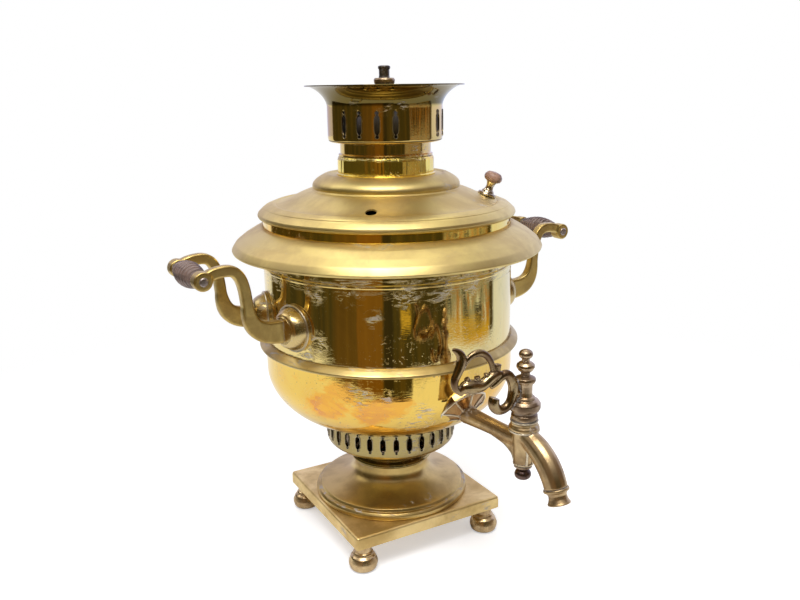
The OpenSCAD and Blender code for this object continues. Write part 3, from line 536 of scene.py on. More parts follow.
def beside(corners, wall):
    """The same outline moved to its left by a wall's thickness, its round corners still concentric."""
    aside = []
    last = len(corners) - 1
    for i, (r, z, soft) in enumerate(corners):
        before = Vector((r - corners[max(i - 1, 0)][0], z - corners[max(i - 1, 0)][1]))
        after = Vector((corners[min(i + 1, last)][0] - r, corners[min(i + 1, last)][1] - z))
        before = (before if i else after).normalized()
        after = (after if i < last else before).normalized()
        left = Vector((-before.y - after.y, before.x + after.x)).normalized()
        reach = wall / max(0.55, left.dot(Vector((-before.y, before.x))))
        turning = before.x * after.y - before.y * after.x
        inner = max(0.0, soft - wall) if turning > 0 else soft + wall
        aside.append((r + left.x * reach, z + left.y * reach, inner if soft else 0))
    return aside


def rounded(corners, closed=False):
    """The points of an outline whose corners (r, z, radius) are rounded off."""
    count = len(corners)
    points = []
    for i, (r, z, soft) in enumerate(corners):
        here = Vector((r, z))
        if soft <= 0 or (not closed and i in (0, count - 1)):
            points.append((r, z))
            continue
        back = Vector(corners[i - 1][:2]) - here
        on = Vector(corners[(i + 1) % count][:2]) - here
        if back.length < 1e-6 or on.length < 1e-6:
            points.append((r, z))
            continue
        half = back.angle(on) / 2
        cut = min(soft / max(tan_of(half), 1e-6), 0.48 * back.length, 0.48 * on.length)
        start, end = here + back.normalized() * cut, here + on.normalized() * cut
        steps = max(2, ceil((pi - 2 * half) / radians(11)))
        for k in range(steps + 1):
            t = k / steps
            weight = (1 - t) ** 2, 2 * t * (1 - t), t * t
            spot = weight[0] * start + weight[1] * here + weight[2] * end
            points.append((spot.x, spot.y))
    return points


def tan_of(angle):
    return sin(angle) / max(cos(angle), 1e-9)


def at(r, z, corners):
    """An outline whose corners (r, z, radius) are counted from the given place."""
    return [(r + out, z + height, soft) for out, height, soft in corners]


def sheet_outline(corners, wall):
    """A closed outline of sheet metal: its outer corners, and the same moved inwards."""
    both = []
    for line in (list(corners), beside(corners, wall)[::-1]):
        for i in (0, -1):
            line[i] = (line[i][0], line[i][1], 0.4 * wall)
        both += line
    return rounded(both, closed=True)


def braced(points, closed):
    """Adds a point near both ends of each long straight part, so that its shading stays straight."""
    out = []
    pairs = list(zip(points, points[1:] + points[:1])) if closed else list(zip(points, points[1:]))
    for a, b in pairs:
        out.append(a)
        length = hypot(b[0] - a[0], b[1] - a[1])
        if length > 6:
            for t in (0.4 / length, 1 - 0.4 / length):
                out.append((a[0] + t * (b[0] - a[0]), a[1] + t * (b[1] - a[1])))
    return out if closed else out + [points[-1]]


def lathe(points, closed=True, around=160):
    """Spins an outline of (radius, height) in mm round the Z axis."""
    points = braced([tuple(point[:2]) for point in points], closed)
    bm = bmesh.new()
    ring = [bm.verts.new((r * MM, 0, z * MM)) for r, z in points]
    pairs = list(zip(ring, ring[1:])) + ([(ring[-1], ring[0])] if closed else [])
    edges = [bm.edges.new(pair) for pair in pairs]
    bmesh.ops.spin(
        bm, geom=ring + edges, cent=(0, 0, 0), axis=(0, 0, 1), angle=2 * pi, steps=around, use_merge=True)
    bmesh.ops.remove_doubles(bm, verts=bm.verts, dist=1e-7)
    return bm


def join(whole, *others):
    """One bmesh that holds all of them."""
    for other in others:
        spare = bpy.data.meshes.new("spare")
        other.to_mesh(spare)
        other.free()
        whole.from_mesh(spare)
        bpy.data.meshes.remove(spare)
    return whole


def thicken(bm, corners, way):
    """A slab on flat corners (x, y, z in mm), as thick as the way in mm."""
    face = bm.faces.new([bm.verts.new([c * MM for c in corner]) for corner in corners])
    out = bmesh.ops.extrude_face_region(bm, geom=[face])
    far_side = [v for v in out["geom"] if isinstance(v, bmesh.types.BMVert)]
    bmesh.ops.translate(bm, vec=[w * MM for w in way], verts=far_side)
    return bm


def soften(bm, edges, radius, steps):
    """Rounds off the edges."""
    bmesh.ops.bevel(
        bm, geom=edges, offset=radius * MM, segments=steps, profile=0.5, affect="EDGES", material=-1)


def vertex(bm, r, angle, z):
    """A new vertex at a radius, an angle in radians and a height."""
    return bm.verts.new((r * cos(angle) * MM, r * sin(angle) * MM, z * MM))


def bridge(bm, lower, upper):
    """Faces between two rings of vertices."""
    count = len(lower)
    for i in range(count):
        bm.faces.new((lower[i], lower[(i + 1) % count], upper[(i + 1) % count], upper[i]))


def moved(bm, *matrices):
    for matrix in matrices:
        bmesh.ops.transform(bm, matrix=matrix, verts=bm.verts)
    return bm


def object_of(name, bm, finish, sharp=32):
    bmesh.ops.remove_doubles(bm, verts=bm.verts, dist=1e-7)
    bmesh.ops.dissolve_degenerate(bm, edges=bm.edges, dist=1e-7)
    bmesh.ops.recalc_face_normals(bm, faces=bm.faces)
    bmesh.ops.translate(bm, vec=axis, verts=bm.verts)
    mesh = bpy.data.meshes.new(name)
    bm.to_mesh(mesh)
    bm.free()
    mesh.shade_smooth()
    mesh.set_sharp_from_angle(angle=radians(sharp))
    mesh.materials.append(finish.material)
    made = bpy.data.objects.new(name, mesh)
    scene.collection.objects.link(made)
    return made


def piece(name, bm, finish, body, *nodes):
    """A finished piece that rides on a body and stands for CAD nodes."""
    made = object_of(name, bm, finish)
    settle(made, finish, body, *nodes)
    return made


def settle(made, finish, body, *nodes):
    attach(made, body)
    if nodes:
        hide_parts(*nodes)


def mesh_of(made):
    """The mesh of an object as its modifiers or its bevel leave it."""
    return bpy.data.meshes.new_from_object(made.evaluated_get(bpy.context.evaluated_depsgraph_get()))


def frozen(made):
    """Bakes an object's modifiers into its mesh."""
    shape = mesh_of(made)
    old = made.data
    made.modifiers.clear()
    made.data = shape
    shape.name = made.name
    bpy.data.meshes.remove(old)
    return made


def cut_away(made, cutter_bm):
    """Takes the cutter's shape out of the object."""
    tool = bpy.data.objects.new("cutter", bpy.data.meshes.new("cutter"))
    bmesh.ops.recalc_face_normals(cutter_bm, faces=cutter_bm.faces)
    bmesh.ops.translate(cutter_bm, vec=axis, verts=cutter_bm.verts)
    cutter_bm.to_mesh(tool.data)
    cutter_bm.free()
    scene.collection.objects.link(tool)
    knife = made.modifiers.new("knife", "BOOLEAN")
    knife.operation = "DIFFERENCE"
    knife.solver = "EXACT"
    knife.object = tool
    frozen(made)
    bpy.data.objects.remove(tool)
    return made


def cast(made, voxel, rounds):
    """Melts overlapping shapes into one skin with soft joints, as in a casting."""
    melt = made.modifiers.new("melt", "REMESH")
    melt.mode = "VOXEL"
    melt.voxel_size = voxel * MM
    frozen(made)
    bm = bmesh.new()
    bm.from_mesh(made.data)
    for _ in range(rounds):
        bmesh.ops.smooth_vert(
            bm, verts=bm.verts, factor=0.5, use_axis_x=True, use_axis_y=True, use_axis_z=True)
    bm.to_mesh(made.data)
    bm.free()
    made.data.shade_smooth()
    return made


def limb(points, radii, flat=1.0, sides=5):
    """A round bar along points (x, 0, z) in mm, thick as radii say, flattened across Y."""
    path = bpy.data.curves.new("limb", "CURVE")
    path.dimensions = "3D"
    path.bevel_depth = MM
    path.bevel_resolution = sides
    path.use_fill_caps = True
    path.resolution_u = 8
    line = path.splines.new("NURBS")
    line.points.add(len(points) - 1)
    line.use_endpoint_u = True
    line.order_u = 3
    for point, (x, z), radius in zip(line.points, points, radii):
        point.co = (x * MM, 0, z * MM, 1)
        point.radius = radius
    holder = bpy.data.objects.new("limb", path)
    scene.collection.objects.link(holder)
    shape = mesh_of(holder)
    bpy.data.objects.remove(holder)
    bm = bmesh.new()
    bm.from_mesh(shape)
    bpy.data.meshes.remove(shape)
    bmesh.ops.scale(bm, vec=(1, flat, 1), verts=bm.verts)
    return bm


def bar(r, length, segments):
    """A plain round bar along Z, in mm."""
    bm = bmesh.new()
    bmesh.ops.create_cone(
        bm, cap_ends=True, segments=segments, radius1=r * MM, radius2=r * MM, depth=length * MM)
    return bm


def turn(about, angle):
    return Matrix.Rotation(radians(angle), 4, about)


def shift(x, y, z):
    return Matrix.Translation((x * MM, y * MM, z * MM))


# ---- Levels and radii, in mm, from the frame ----
def bottom_of(node):
    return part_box(node)[0].z / MM


def top_of(node):
    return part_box(node)[1].z / MM


def radius_of(node):
    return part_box(node)[1].x / MM


plate_twist = -6.4
plate_w = 150.0
plate_low = bottom_of("base_plate")
plate_top = top_of("base_plate")
ring_low = bottom_of("neck_ring")
gallery_low = bottom_of("air_gallery")
gallery_r = radius_of("air_gallery")
bowl_low = bottom_of("bowl_floor")
bowl_top = top_of("lower_bowl")
bowl_r = radius_of("lower_bowl")
body_r = bowl_r - 1.5
wall_top = top_of("body_wall")
lid_low = bottom_of("lid_rim") + 8
lid_r = radius_of("lid_rim")
collar_top = top_of("collar_band")
lid_flat = bottom_of("lid_neck")
neck_r = radius_of("lid_neck") - 1
neck_top = top_of("lid_neck")
crown_low = bottom_of("crown_neck")
drum_low = bottom_of("crown_floor")
rim_top = top_of("crown_rim")
rim_r = radius_of("crown_rim")
stem_r = 34.4
sheet = 1.4
handle_turn = -3.0
arm_y = 29.0
arm_level = bowl_top + 33.5
grip_level = arm_level + 50.5
grip_reach = 184.0
tap_reach = 180.0
tube_level = bowl_low + 30.3
barrel_low = tube_level - 18.8
spout_down = 70


# ---- Foot plate, feet, pedestal ----
plate_finish = satin(
    "plate_brass", rgb(0.96, 0.74, 0.34), rgb(0.62, 0.43, 0.16),
    spots=((16, -80, 30, 9), (52, -80, 31, 8), (-30, -84, 30, 7), (-76, -40, 30, 10), (-10, -84, 26, 6)),
    gloss=0.40)
pedestal_finish = satin(
    "pedestal_brass", rgb(0.66, 0.47, 0.17), rgb(0.42, 0.29, 0.10),
    spots=((-20, -58, 48, 9), (0, -60, 46, 8), (30, -30, 66, 8)),
    bands=((plate_top + 5.2, plate_top + 7.8, 0.9), (ring_low - 5, ring_low + 1, 0.35)), gloss=0.28)
foot_finish = aged("foot_brass", rgb(0.82, 0.62, 0.34), rgb(0.42, 0.28, 0.14), crease=0.6)


def make_plate():
    half = plate_w / 2
    bm = bmesh.new()
    bmesh.ops.create_cube(bm, size=1)
    height = plate_top - plate_low
    moved(
        bm, Matrix.Diagonal((plate_w * MM, plate_w * MM, height * MM, 1)),
        shift(0, 0, plate_low + height / 2))
    under = [f for f in bm.faces if f.normal.z < -0.5]
    bmesh.ops.delete(bm, geom=under, context="FACES_ONLY")
    sharp = [e for e in bm.edges if not e.is_boundary]
    soften(bm, sharp, 2.5, 5)
    bmesh.ops.solidify(bm, geom=bm.faces[:], thickness=2.4 * MM)
    pads = bmesh.new()
    foot_at = half - 10.5
    for x in (-1, 1):
        for y in (-1, 1):
            pad = bmesh.new()
            bmesh.ops.create_cube(pad, size=20 * MM)
            moved(pad, Matrix.Diagonal((1, 1, 0.4, 1)), shift(x * foot_at, y * foot_at, plate_low + 4.2))
            pads = join(pads, pad)
    piece("foot_plate", moved(join(bm, pads), turn("Z", plate_twist)), plate_finish, "root", "base_plate")
    foot_r, bun = 13.3, plate_low - 10.2
    for name, x, y in (
            ("front_left", -1, -1), ("front_right", 1, -1), ("rear_left", -1, 1), ("rear_right", 1, 1)):
        outline = rounded(
            [(0, 0, 0), (8.0, 0, 0.8), (foot_r - 1.6, bun * 0.10, 3), (foot_r, bun * 0.5, 6),
                (foot_r - 2.2, bun * 0.9, 3), (8.8, bun + 0.3, 0.4), (9.3, bun + 1.4, 0.7),
                (8.5, bun + 2.6, 0.4), (7.4, bun + 3.4, 0.8), (7.6, plate_low + 0.4, 0.4),
                (0, plate_low + 0.4, 0)])
        bm = moved(lathe(outline, False, 72), shift(x * foot_at, y * foot_at, 0), turn("Z", plate_twist))
        piece("bun_foot_" + name, bm, foot_finish, "root", "foot_" + name)


def make_pedestal():
    z, r = plate_top, 72.6
    step = r - 4.8
    corners = [
        (r - 0.6, z + 0.1, 0), (r, z + 1.4, 0.8), (r + 0.1, z + 4.2, 1.6), (r - 1.6, z + 6.4, 1.2),
        (r - 3.9, z + 6.9, 0.5), (step + 0.1, z + 9.1, 1.0)]
    corners += curve(
        (step - 1.2, z + 9.7), (step - 20, z + 14), (stem_r + 0.6, z + 15), (stem_r, ring_low - 5), 16)
    corners += [(stem_r, ring_low, 0)]
    piece(
        "bell_pedestal", lathe(sheet_outline(corners, 1.5)), pedestal_finish, "root", "pedestal",
        "pedestal_stem")
    inner = stem_r - 1.6
    corners = [
        (inner, ring_low, 0.2), (stem_r + 2.6, ring_low, 0.6), (stem_r + 4.4, ring_low + 1.5, 1.4),
        (stem_r + 3.2, gallery_low - 0.3, 0.8), (stem_r + 0.8, gallery_low, 0.4), (inner, gallery_low, 0.2)]
    piece("stem_ring", lathe(rounded(corners, True)), brass_low, "root", "neck_ring")


def slot_outline(length, width, tip):
    """Outline of a keyhole slot: a long pointed oval with a small round hole at each end."""
    right = []
    steps = 20
    for i in range(-steps, steps + 1):
        z = i / steps * length / 2
        lens = width / 2 * max(0.0, 1 - (abs(z) / (0.38 * length)) ** 6)
        from_tip = abs(z) - (length / 2 - tip)
        hole = sqrt(max(0.0, tip * tip - from_tip * from_tip))
        waist = 0.45 * tip if abs(z) < length / 2 - tip else 0.0
        right.append((max(lens, hole, waist), z))
    left = [(-w, z) for w, z in reversed(right[1:-1])]
    return right[:-1] + [(0, length / 2)] + left


def slot_cutter(shape, r, level, angle):
    bm = thicken(bmesh.new(), [(r - 5, w, level + z) for w, z in shape], (10, 0, 0))
    return moved(bm, turn("Z", angle))


def slots(shape, r, level, angles, grow, proud):
    """Cutters for a row of slots, and the lips round them."""
    knives = join(*(slot_cutter(shape, r, level, angle) for angle in angles))
    lips = join(*(slot_edge(shape, r, level, angle, grow, proud) for angle in angles))
    return knives, lips


def slot_edge(shape, r, level, angle, grow, proud):
    """The thin raised lip round a slot, pale with dried polish and a painted highlight."""
    bm = bmesh.new()
    inner, outer = [], []
    count = len(shape)
    for i, (w, z) in enumerate(shape):
        before, after = Vector(shape[i - 1]), Vector(shape[(i + 1) % count])
        away = Vector((after.y - before.y, before.x - after.x))
        away = away.normalized() if away.length > 1e-9 else Vector((0, 1))
        for ring, out in ((inner, 0.02), (outer, grow)):
            ring.append(vertex(bm, r + proud, (w + away.x * out) / r, level + z + away.y * out))
    bridge(bm, inner, outer)
    bmesh.ops.recalc_face_normals(bm, faces=bm.faces)
    if sum(f.normal.x for f in bm.faces) > 0:
        bmesh.ops.reverse_faces(bm, faces=bm.faces)
    bmesh.ops.solidify(bm, geom=bm.faces[:], thickness=(proud + 0.3) * MM)
    return moved(bm, turn("Z", angle))


brass_low = polished(
    "gallery_brass", rgb(0.42, 0.33, 0.13), rgb(0.36, 0.24, 0.09), rgb(0.24, 0.19, 0.08),
    spots=((-15, -59, 105, 16), (10, -60, 104, 18), (-40, -45, 112, 12), (30, -52, 92, 14)),
    bands=((bowl_low - 5, bowl_low + 3, 0.7),), mirror=0.12)
# The slot lips are pale: dried polish and a painted highlight along each slot's edge.
slot_polish_and_highlight = aged("slot_polish_and_highlight_brass", rgb(0.62, 0.54, 0.36), rgb(0.26, 0.21, 0.11), crease=0.5, gloss=0.35)


def make_gallery():
    wall_low = gallery_low + 20
    corners = [(stem_r - 1.6, gallery_low, 0), (stem_r + 0.8, gallery_low, 0.4)]
    corners += curve(
        (stem_r + 1.1, gallery_low + 3), (stem_r + 3, gallery_low + 11), (gallery_r, gallery_low + 11),
        (gallery_r, wall_low), 16)
    corners += [(gallery_r, z, 0) for z in (wall_low + 2.2 * k for k in range(1, 9))]
    corners += [(gallery_r, bowl_low - 0.2, 0)]
    made = object_of("pierced_gallery", lathe(sheet_outline(corners, 1.5), around=288), brass_low)
    shape = slot_outline(17, 4.8, 1.0)
    count, first = 32, 3.6
    angles = [first + i * 360 / count for i in range(count)]
    knives, lips = slots(shape, gallery_r, bowl_low - 12.5, angles, 0.38, 0.12)
    cut_away(made, knives)
    settle(made, brass_low, "root", "air_gallery")
    piece("gallery_slot_edges", lips, slot_polish_and_highlight, "root")


make_plate()
make_pedestal()
make_gallery()


# ---- Water vessel ----
bowl_finish = polished(
    "bowl_brass", rgb(0.90, 0.62, 0.14), rgb(0.84, 0.48, 0.09), rgb(0.62, 0.44, 0.13),
    spots=((-83, -76, 172, 17), (-66, -92, 171, 9), (-40, -103, 152, 16), (-45, -94, 144, 18),
        (-22, -95, 140, 18), (-98, 50, 150, 24), (-110, 0, 150, 12)),
    heat=((-95, -61, 170, 26), (-98, -55, 159, 28), (-74, -84, 157, 32), (-57, -96, 161, 26)),
    bands=((bowl_low - 2, bowl_low + 9, 0.7),))
wall_finish = polished(
    "wall_brass", rgb(0.84, 0.66, 0.26), rgb(0.80, 0.50, 0.14), rgb(0.62, 0.50, 0.20),
    spots=((-72, -86, 236, 11), (-66, -91, 222, 6), (-64, -92, 209, 6), (-103, -43, 212, 15),
        (-107, -32, 199, 13), (-111, 6, 240, 30), (-112, -6, 220, 26), (-102, -45, 254, 14),
        (-86, -71, 255, 15), (-52, -99, 256, 20), (-26, -109, 257, 20), (3, -112, 258, 16)),
    bands=((wall_top - 31, wall_top - 23, 0.62), (wall_top - 38, wall_top - 30, 0.26),
        (bowl_top + 5, bowl_top + 9, 0.7)))
waist_finish = satin(
    "waist_brass", rgb(0.70, 0.54, 0.22), rgb(0.44, 0.31, 0.11),
    spots=((-112, -26, 192, 12), (-118, 6, 192, 14), (-60, -102, 192, 8)),
    bands=((bowl_top + 5, bowl_top + 8, 0.5),), gloss=0.33)


def make_vessel():
    corners = [(46.3, bowl_low, 0)]
    corners += curve(
        (gallery_r + 0.9, bowl_low), (gallery_r + 27.4, bowl_low + 2.5), (bowl_r, bowl_low + 26),
        (bowl_r, bowl_low + 50), 26)
    corners += [(bowl_r, bowl_top, 0)]
    piece(
        "water_bowl", lathe(sheet_outline(corners, sheet), around=224), bowl_finish, "root", "bowl_floor",
        "bowl_turn", "lower_bowl")
    waist_r, inner = 118.8, body_r + 0.1
    corners = at(0, bowl_top, [
        (inner, 0.1, 0), (bowl_r + 3.6, 0.1, 0.4), (waist_r, 1.0, 0.8), (waist_r, 2.6, 0.8),
        (waist_r - 0.8, 3.4, 0.4), (body_r + 3.4, 5.8, 0.8), (body_r + 1.4, 7.3, 0.6), (inner, 7.5, 0)])
    piece("waist_ring", lathe(rounded(corners, True), around=224), waist_finish, "root", "waist_band")
    bead = wall_top - 30.5
    corners = [
        (body_r, bowl_top - 7, 0), (body_r, bead - 1.2, 0.5), (body_r + 1, bead - 0.4, 0.5),
        (body_r + 1, bead + 1.4, 0.5), (body_r, bead + 2.2, 0.5), (body_r, wall_top - 18, 0),
        (body_r, wall_top, 0)]
    piece("water_wall", lathe(sheet_outline(corners, sheet), around=224), wall_finish, "root", "body_wall")


shoulder_finish = satin(
    "shoulder_brass", pale_gold, dull_gold,
    spots=((106, -70, 282, 5), (-60, -90, 296, 18), (-75, -80, 296, 12)))
lid_finish = satin("lid_brass", pale_gold, dull_gold, spots=((20, -60, 327, 10), (40, -80, 312, 12)))
band_finish = polished(
    "band_brass", rgb(0.95, 0.68, 0.16), rgb(0.86, 0.45, 0.08), rgb(0.60, 0.42, 0.12), mirror=0.04)


def make_shoulder():
    edge_z, top_z, r = wall_top - 15.6, wall_top + 4.7, radius_of("shoulder_ring")
    corners = [
        (body_r + 0.3, wall_top - 23, 0), (body_r + 8, wall_top - 20.4, 2), (r - 8, edge_z - 2.6, 2),
        (r - 0.6, edge_z - 1.2, 0.7), (r, edge_z + 0.6, 0.8), (r - 3.5, edge_z + 6.1, 6),
        (r - 10.3, edge_z + 11.4, 10), (body_r + 8.3, edge_z + 16.2, 10), (body_r + 1.5, top_z - 0.5, 2.5),
        (body_r - 1.4, top_z, 0)]
    piece(
        "shoulder", lathe(sheet_outline(corners, sheet), around=224), shoulder_finish, "root",
        "shoulder_under", "shoulder_ring")
    collar_r = body_r - 1.5
    corners = [(collar_r, wall_top - 7, 0), (collar_r, wall_top + 2, 0), (collar_r, collar_top, 0)]
    piece("collar", lathe(sheet_outline(corners, sheet), around=224), band_finish, "root", "collar_band")


make_vessel()
make_shoulder()


# ---- Lid, its knob and its neck ----
knob_turn = -34.6
knob_ring = 89.46
knob_tilt = 20.7
knob_level = lid_low + 14.28
steam_turn = -132.6
steam_r = 4.6
skirt_r = 108.1


def at_knob(bm):
    return moved(bm, turn("Y", knob_tilt), shift(knob_ring, 0, knob_level), turn("Z", knob_turn))


knob_brass = aged("knob_brass", rgb(0.62, 0.52, 0.36), rgb(0.30, 0.22, 0.14), crease=1.0)
knob_wood = worn_wood("knob_wood", "knob_wood", rgb(0.40, 0.23, 0.16), rgb(0.18, 0.10, 0.06), 0.3)


def make_lid():
    e, z, b = lid_r, lid_low, 65.2
    corners = at(e, z, [
        (-5.5, 0, 0), (-1.2, 0.2, 1.0), (0, 2.1, 1.6), (-0.7, 4.2, 1.6), (-4.4, 7.7, 5), (-8.5, 10.1, 6),
        (-13.3, 11.95, 3), (-15.2, 11.9, 0.5)])
    corners += curve((e - 16.4, z + 11.25), (e - 26, z + 12.4), (b + 16, z + 18.6), (b + 4, z + 22.4), 14)
    corners += [(b + 1.2, z + 22.8, 0.6)]
    corners += curve((b - 0.2, z + 24), (b + 1.4, z + 28.5), (b - 2, z + 32), (b - 11, z + 36.2), 12)
    corners += [(b - 13.5, z + 36.5, 1.5), (b - 15.5, lid_flat, 1.0), (neck_r - 2.2, lid_flat, 0)]
    made = object_of("lid_shell", lathe(sheet_outline(corners, 1.2), around=224), lid_finish)
    hole = bar(steam_r, 40, 48)
    cut_away(made, moved(hole, shift(knob_ring, 0, z + 14), turn("Z", steam_turn)))
    inner = skirt_r - 1.2
    skirt = rounded(
        [(inner, z - 8, 0.4), (skirt_r, z - 8, 0.4), (skirt_r, z + 9.2, 0), (inner, z + 9.2, 0)], True)
    settle(made, lid_finish, "lid", "lid_rim", "lid", "lid_bulge")
    piece("lid_skirt", lathe(skirt), lid_finish, "lid")
    wall = 38.8
    corners = [
        (wall, lid_flat, 0.2), (neck_r + 1, lid_flat, 0.4), (neck_r + 1, lid_flat + 1.1, 0.4),
        (neck_r, lid_flat + 1.9, 0.4), (neck_r, neck_top - 2.6, 1.0), (neck_r - 1.0, neck_top, 0.5),
        (wall, neck_top, 0.3)]
    piece("lid_collar", lathe(rounded(corners, True)), neck_finish, "lid", "lid_neck")
    corners = [
        (2.2, 0.1, 0), (7.7, 0.1, 0.4), (8.3, 1.0, 0.5), (7.7, 2.4, 0.5), (5.9, 2.9, 0.6), (5.3, 4.3, 0.6),
        (3.8, 5.9, 1.5), (3.3, 8.4, 3), (3.8, 11, 2), (4.7, 12.6, 0.3), (2.2, 12.6, 0)]
    piece("knob_stem", at_knob(lathe(rounded(corners, True), around=48)), knob_brass, "lid", "knob_base")
    corners = [
        (0, 12.7, 0), (4.8, 12.7, 0.6), (7.2, 14.0, 1.0), (8.2, 16.2, 1.6), (7.9, 18.4, 1.6),
        (6.6, 20.2, 1.2), (5.6, 21.2, 0.5), (3.4, 21.6, 1), (0, 22.1, 0)]
    piece("knob_top", at_knob(lathe(rounded(corners), False, 48)), knob_wood, "lid", "knob_head")


neck_finish = polished(
    "neck_brass", rgb(0.98, 0.76, 0.17), rgb(0.96, 0.62, 0.10), rgb(0.86, 0.66, 0.13),
    bands=((neck_top - 3, neck_top + 1, 0.5),), mirror=0.15, flutes=2.4)
make_lid()


# ---- Crown and chimney cap ----
# Below its flare the crown's inside is painted near-black: soot and painted shade.
crown_finish = polished(
    "crown_brass", rgb(0.70, 0.50, 0.16), rgb(0.76, 0.44, 0.14), rgb(0.46, 0.35, 0.12),
    spots=((-42, -38, 393, 5), (-15, -48, 398, 6), (20, -56, 402, 9), (-50, -24, 398, 8), (2, -40, 354, 15),
        (16, -36, 354, 15), (-12, -38, 353, 9), (-30, -42, 396, 9)),
    crease=0.5, mirror=0.07, fold=drum_low + 31, soot_and_shade_inside=(49.8, drum_low + 1.5, drum_low + 31))


def make_crown():
    inner = 38.8
    outer = inner + 1.1
    corners = [
        (inner, crown_low, 0.2), (outer + 1.4, crown_low, 0.4), (outer + 1.6, crown_low + 1.6, 0.6),
        (outer, crown_low + 2.4, 0.3), (outer, drum_low, 0), (inner, drum_low, 0)]
    piece("crown_band", lathe(rounded(corners, True)), crown_finish, "crown", "crown_neck")
    drum_r, flare = 50.2, drum_low + 31
    corners = [(inner, drum_low, 0), (drum_r - 6, drum_low, 0.2)]
    corners += curve(
        (drum_r - 4, drum_low + 0.1), (drum_r - 1.2, drum_low + 0.3), (drum_r, drum_low + 1.6),
        (drum_r, drum_low + 4.6), 6)
    corners += [(drum_r, drum_low + 4.6 + 2.2 * k, 0) for k in range(1, 12)]
    corners += curve(
        (drum_r, flare), (drum_r + 1.0, flare + 6.4), (drum_r + 7, flare + 13), (rim_r - 4, rim_top - 1.0),
        16)
    corners += [(rim_r, rim_top - 0.9, 0)]
    made = object_of("crown_shell", lathe(sheet_outline(corners, 1.0), around=256), crown_finish)
    shape = slot_outline(22, 4.4, 1.4)
    first, pitch, groups = -167.3, 17.5, 105
    angles = [first + group * groups + i * pitch for group in range(3) for i in range(4)]
    knives, lips = slots(shape, drum_r, drum_low + 16, angles, 0.40, 0.14)
    cut_away(made, knives)
    settle(made, crown_finish, "crown", "crown_floor", "crown_drum", "crown_rim")
    piece("crown_slot_edges", lips, slot_polish_and_highlight, "crown")
    low_z, pipe = bottom_of("chimney_cap"), 38.3
    cap_top = rim_top - 16
    corners = [(pipe + 5.2, low_z + 0.1, 0), (pipe + 2, low_z + 0.1, 1.0)]
    corners += curve(
        (pipe + 0.6, low_z + 0.6), (pipe - 4, low_z + 19), (16, cap_top - 9), (7, cap_top - 2), 14)
    corners += [(5.2, cap_top, 0)]
    piece("cap_dome", lathe(sheet_outline(corners, 1.0)), cap_soot_and_shade, "cap", "chimney_cap")
    disc, tip = rim_top - 3, rim_top + 16
    stem = [
        (0, cap_top - 5, 0), (3.4, cap_top - 5, 0.3), (3.4, cap_top, 0), (6, cap_top, 0.4),
        (6.2, cap_top + 1.6, 0.6), (4.2, cap_top + 3.2, 1), (4, disc - 1, 1.5), (6.4, disc + 1.4, 1),
        (8.8, disc + 4.4, 2), (9.2, disc + 7.2, 1.2), (8.2, disc + 8.6, 0.6), (4.4, disc + 8.8, 0)]
    piece("cap_disc", lathe(rounded(stem + [(0, disc + 8.8, 0)]), False, 64), key_finish, "cap", "cap_knob")
    stub = [
        (0, disc + 8.7, 0), (4.8, disc + 8.7, 0.2), (4.5, disc + 11, 1), (4.6, tip - 3.4, 0.8),
        (5.4, tip - 2.2, 0.5), (5.2, tip - 0.6, 0.6), (3.6, tip, 0.4), (0, tip - 0.4, 0)]
    piece("cap_stub", lathe(rounded(stub), False, 40), stub_finish, "cap")


# The chimney cap is painted near-black: soot, darkened further as painted shade, so that it looks dark
# through the crown's slots.
cap_soot_and_shade = satin("cap_soot_and_shade_brass", rgb(0.022, 0.015, 0.006), rgb(0.012, 0.008, 0.003), gloss=0.5)
key_finish = aged("key_brass", rgb(0.56, 0.42, 0.26), rgb(0.25, 0.17, 0.11), crease=0.95, gloss=0.26)
stub_finish = aged(
    "stub_metal", rgb(0.27, 0.24, 0.20), rgb(0.08, 0.07, 0.07), crease=1.0, gloss=0.3, bite=3.0,
    spots=((-3, -4, rim_top + 12, 4),))
make_crown()


# ---- Handles ----
arm_finish = aged("arm_brass", rgb(0.76, 0.57, 0.20), rgb(0.50, 0.35, 0.12), crease=0.8, gloss=0.30)
rosette_finish = polished(
    "rosette_brass", rgb(0.66, 0.50, 0.22), rgb(0.56, 0.38, 0.14), rgb(0.32, 0.24, 0.10),
    spots=((-110, -33, 226, 9), (-114, -24, 232, 8), (110, -33, 226, 9), (-112, 24, 228, 12)), crease=0.9,
    mirror=0.24)
# Pale ring round each rosette: a painted highlight.
rim_highlight_finish = aged("rim_highlight_brass", rgb(0.88, 0.82, 0.68), rgb(0.62, 0.52, 0.34), crease=0.6, gloss=0.3)
grip_finish = worn_wood("grip_wood", "grip_wood", rgb(0.20, 0.13, 0.10), rgb(0.06, 0.04, 0.035), 0.3)


def plain(points):
    return [(x, z) for x, z, _ in points]


def arm_line():
    up_x, top, z = grip_reach - 35, grip_level + 5.6, arm_level
    line = plain(curve((114, z), (138, z - 1), (up_x - 1, z + 4), (up_x, z + 25), 22))
    line += plain(curve((up_x, z + 25), (up_x + 1.2, z + 38), (up_x + 2, top), (up_x + 16, top), 18))[1:]
    line += plain(
        curve((up_x + 16, top), (up_x + 24, top), (grip_reach - 5, grip_level + 4),
            (grip_reach, grip_level), 10))[1:]
    return line


def arm_depth(i):
    t = min(1.0, i / 22)
    return 19.5 - 10.5 * (0.3 * t + 0.7 * t * t)


def on_side(bm, side):
    """Moves what was drawn for the right handle, square to the tap, to where it belongs."""
    if side < 0:
        moved(bm, Matrix.Diagonal((-1, 1, 1, 1)))
    return moved(bm, turn("Z", handle_turn))


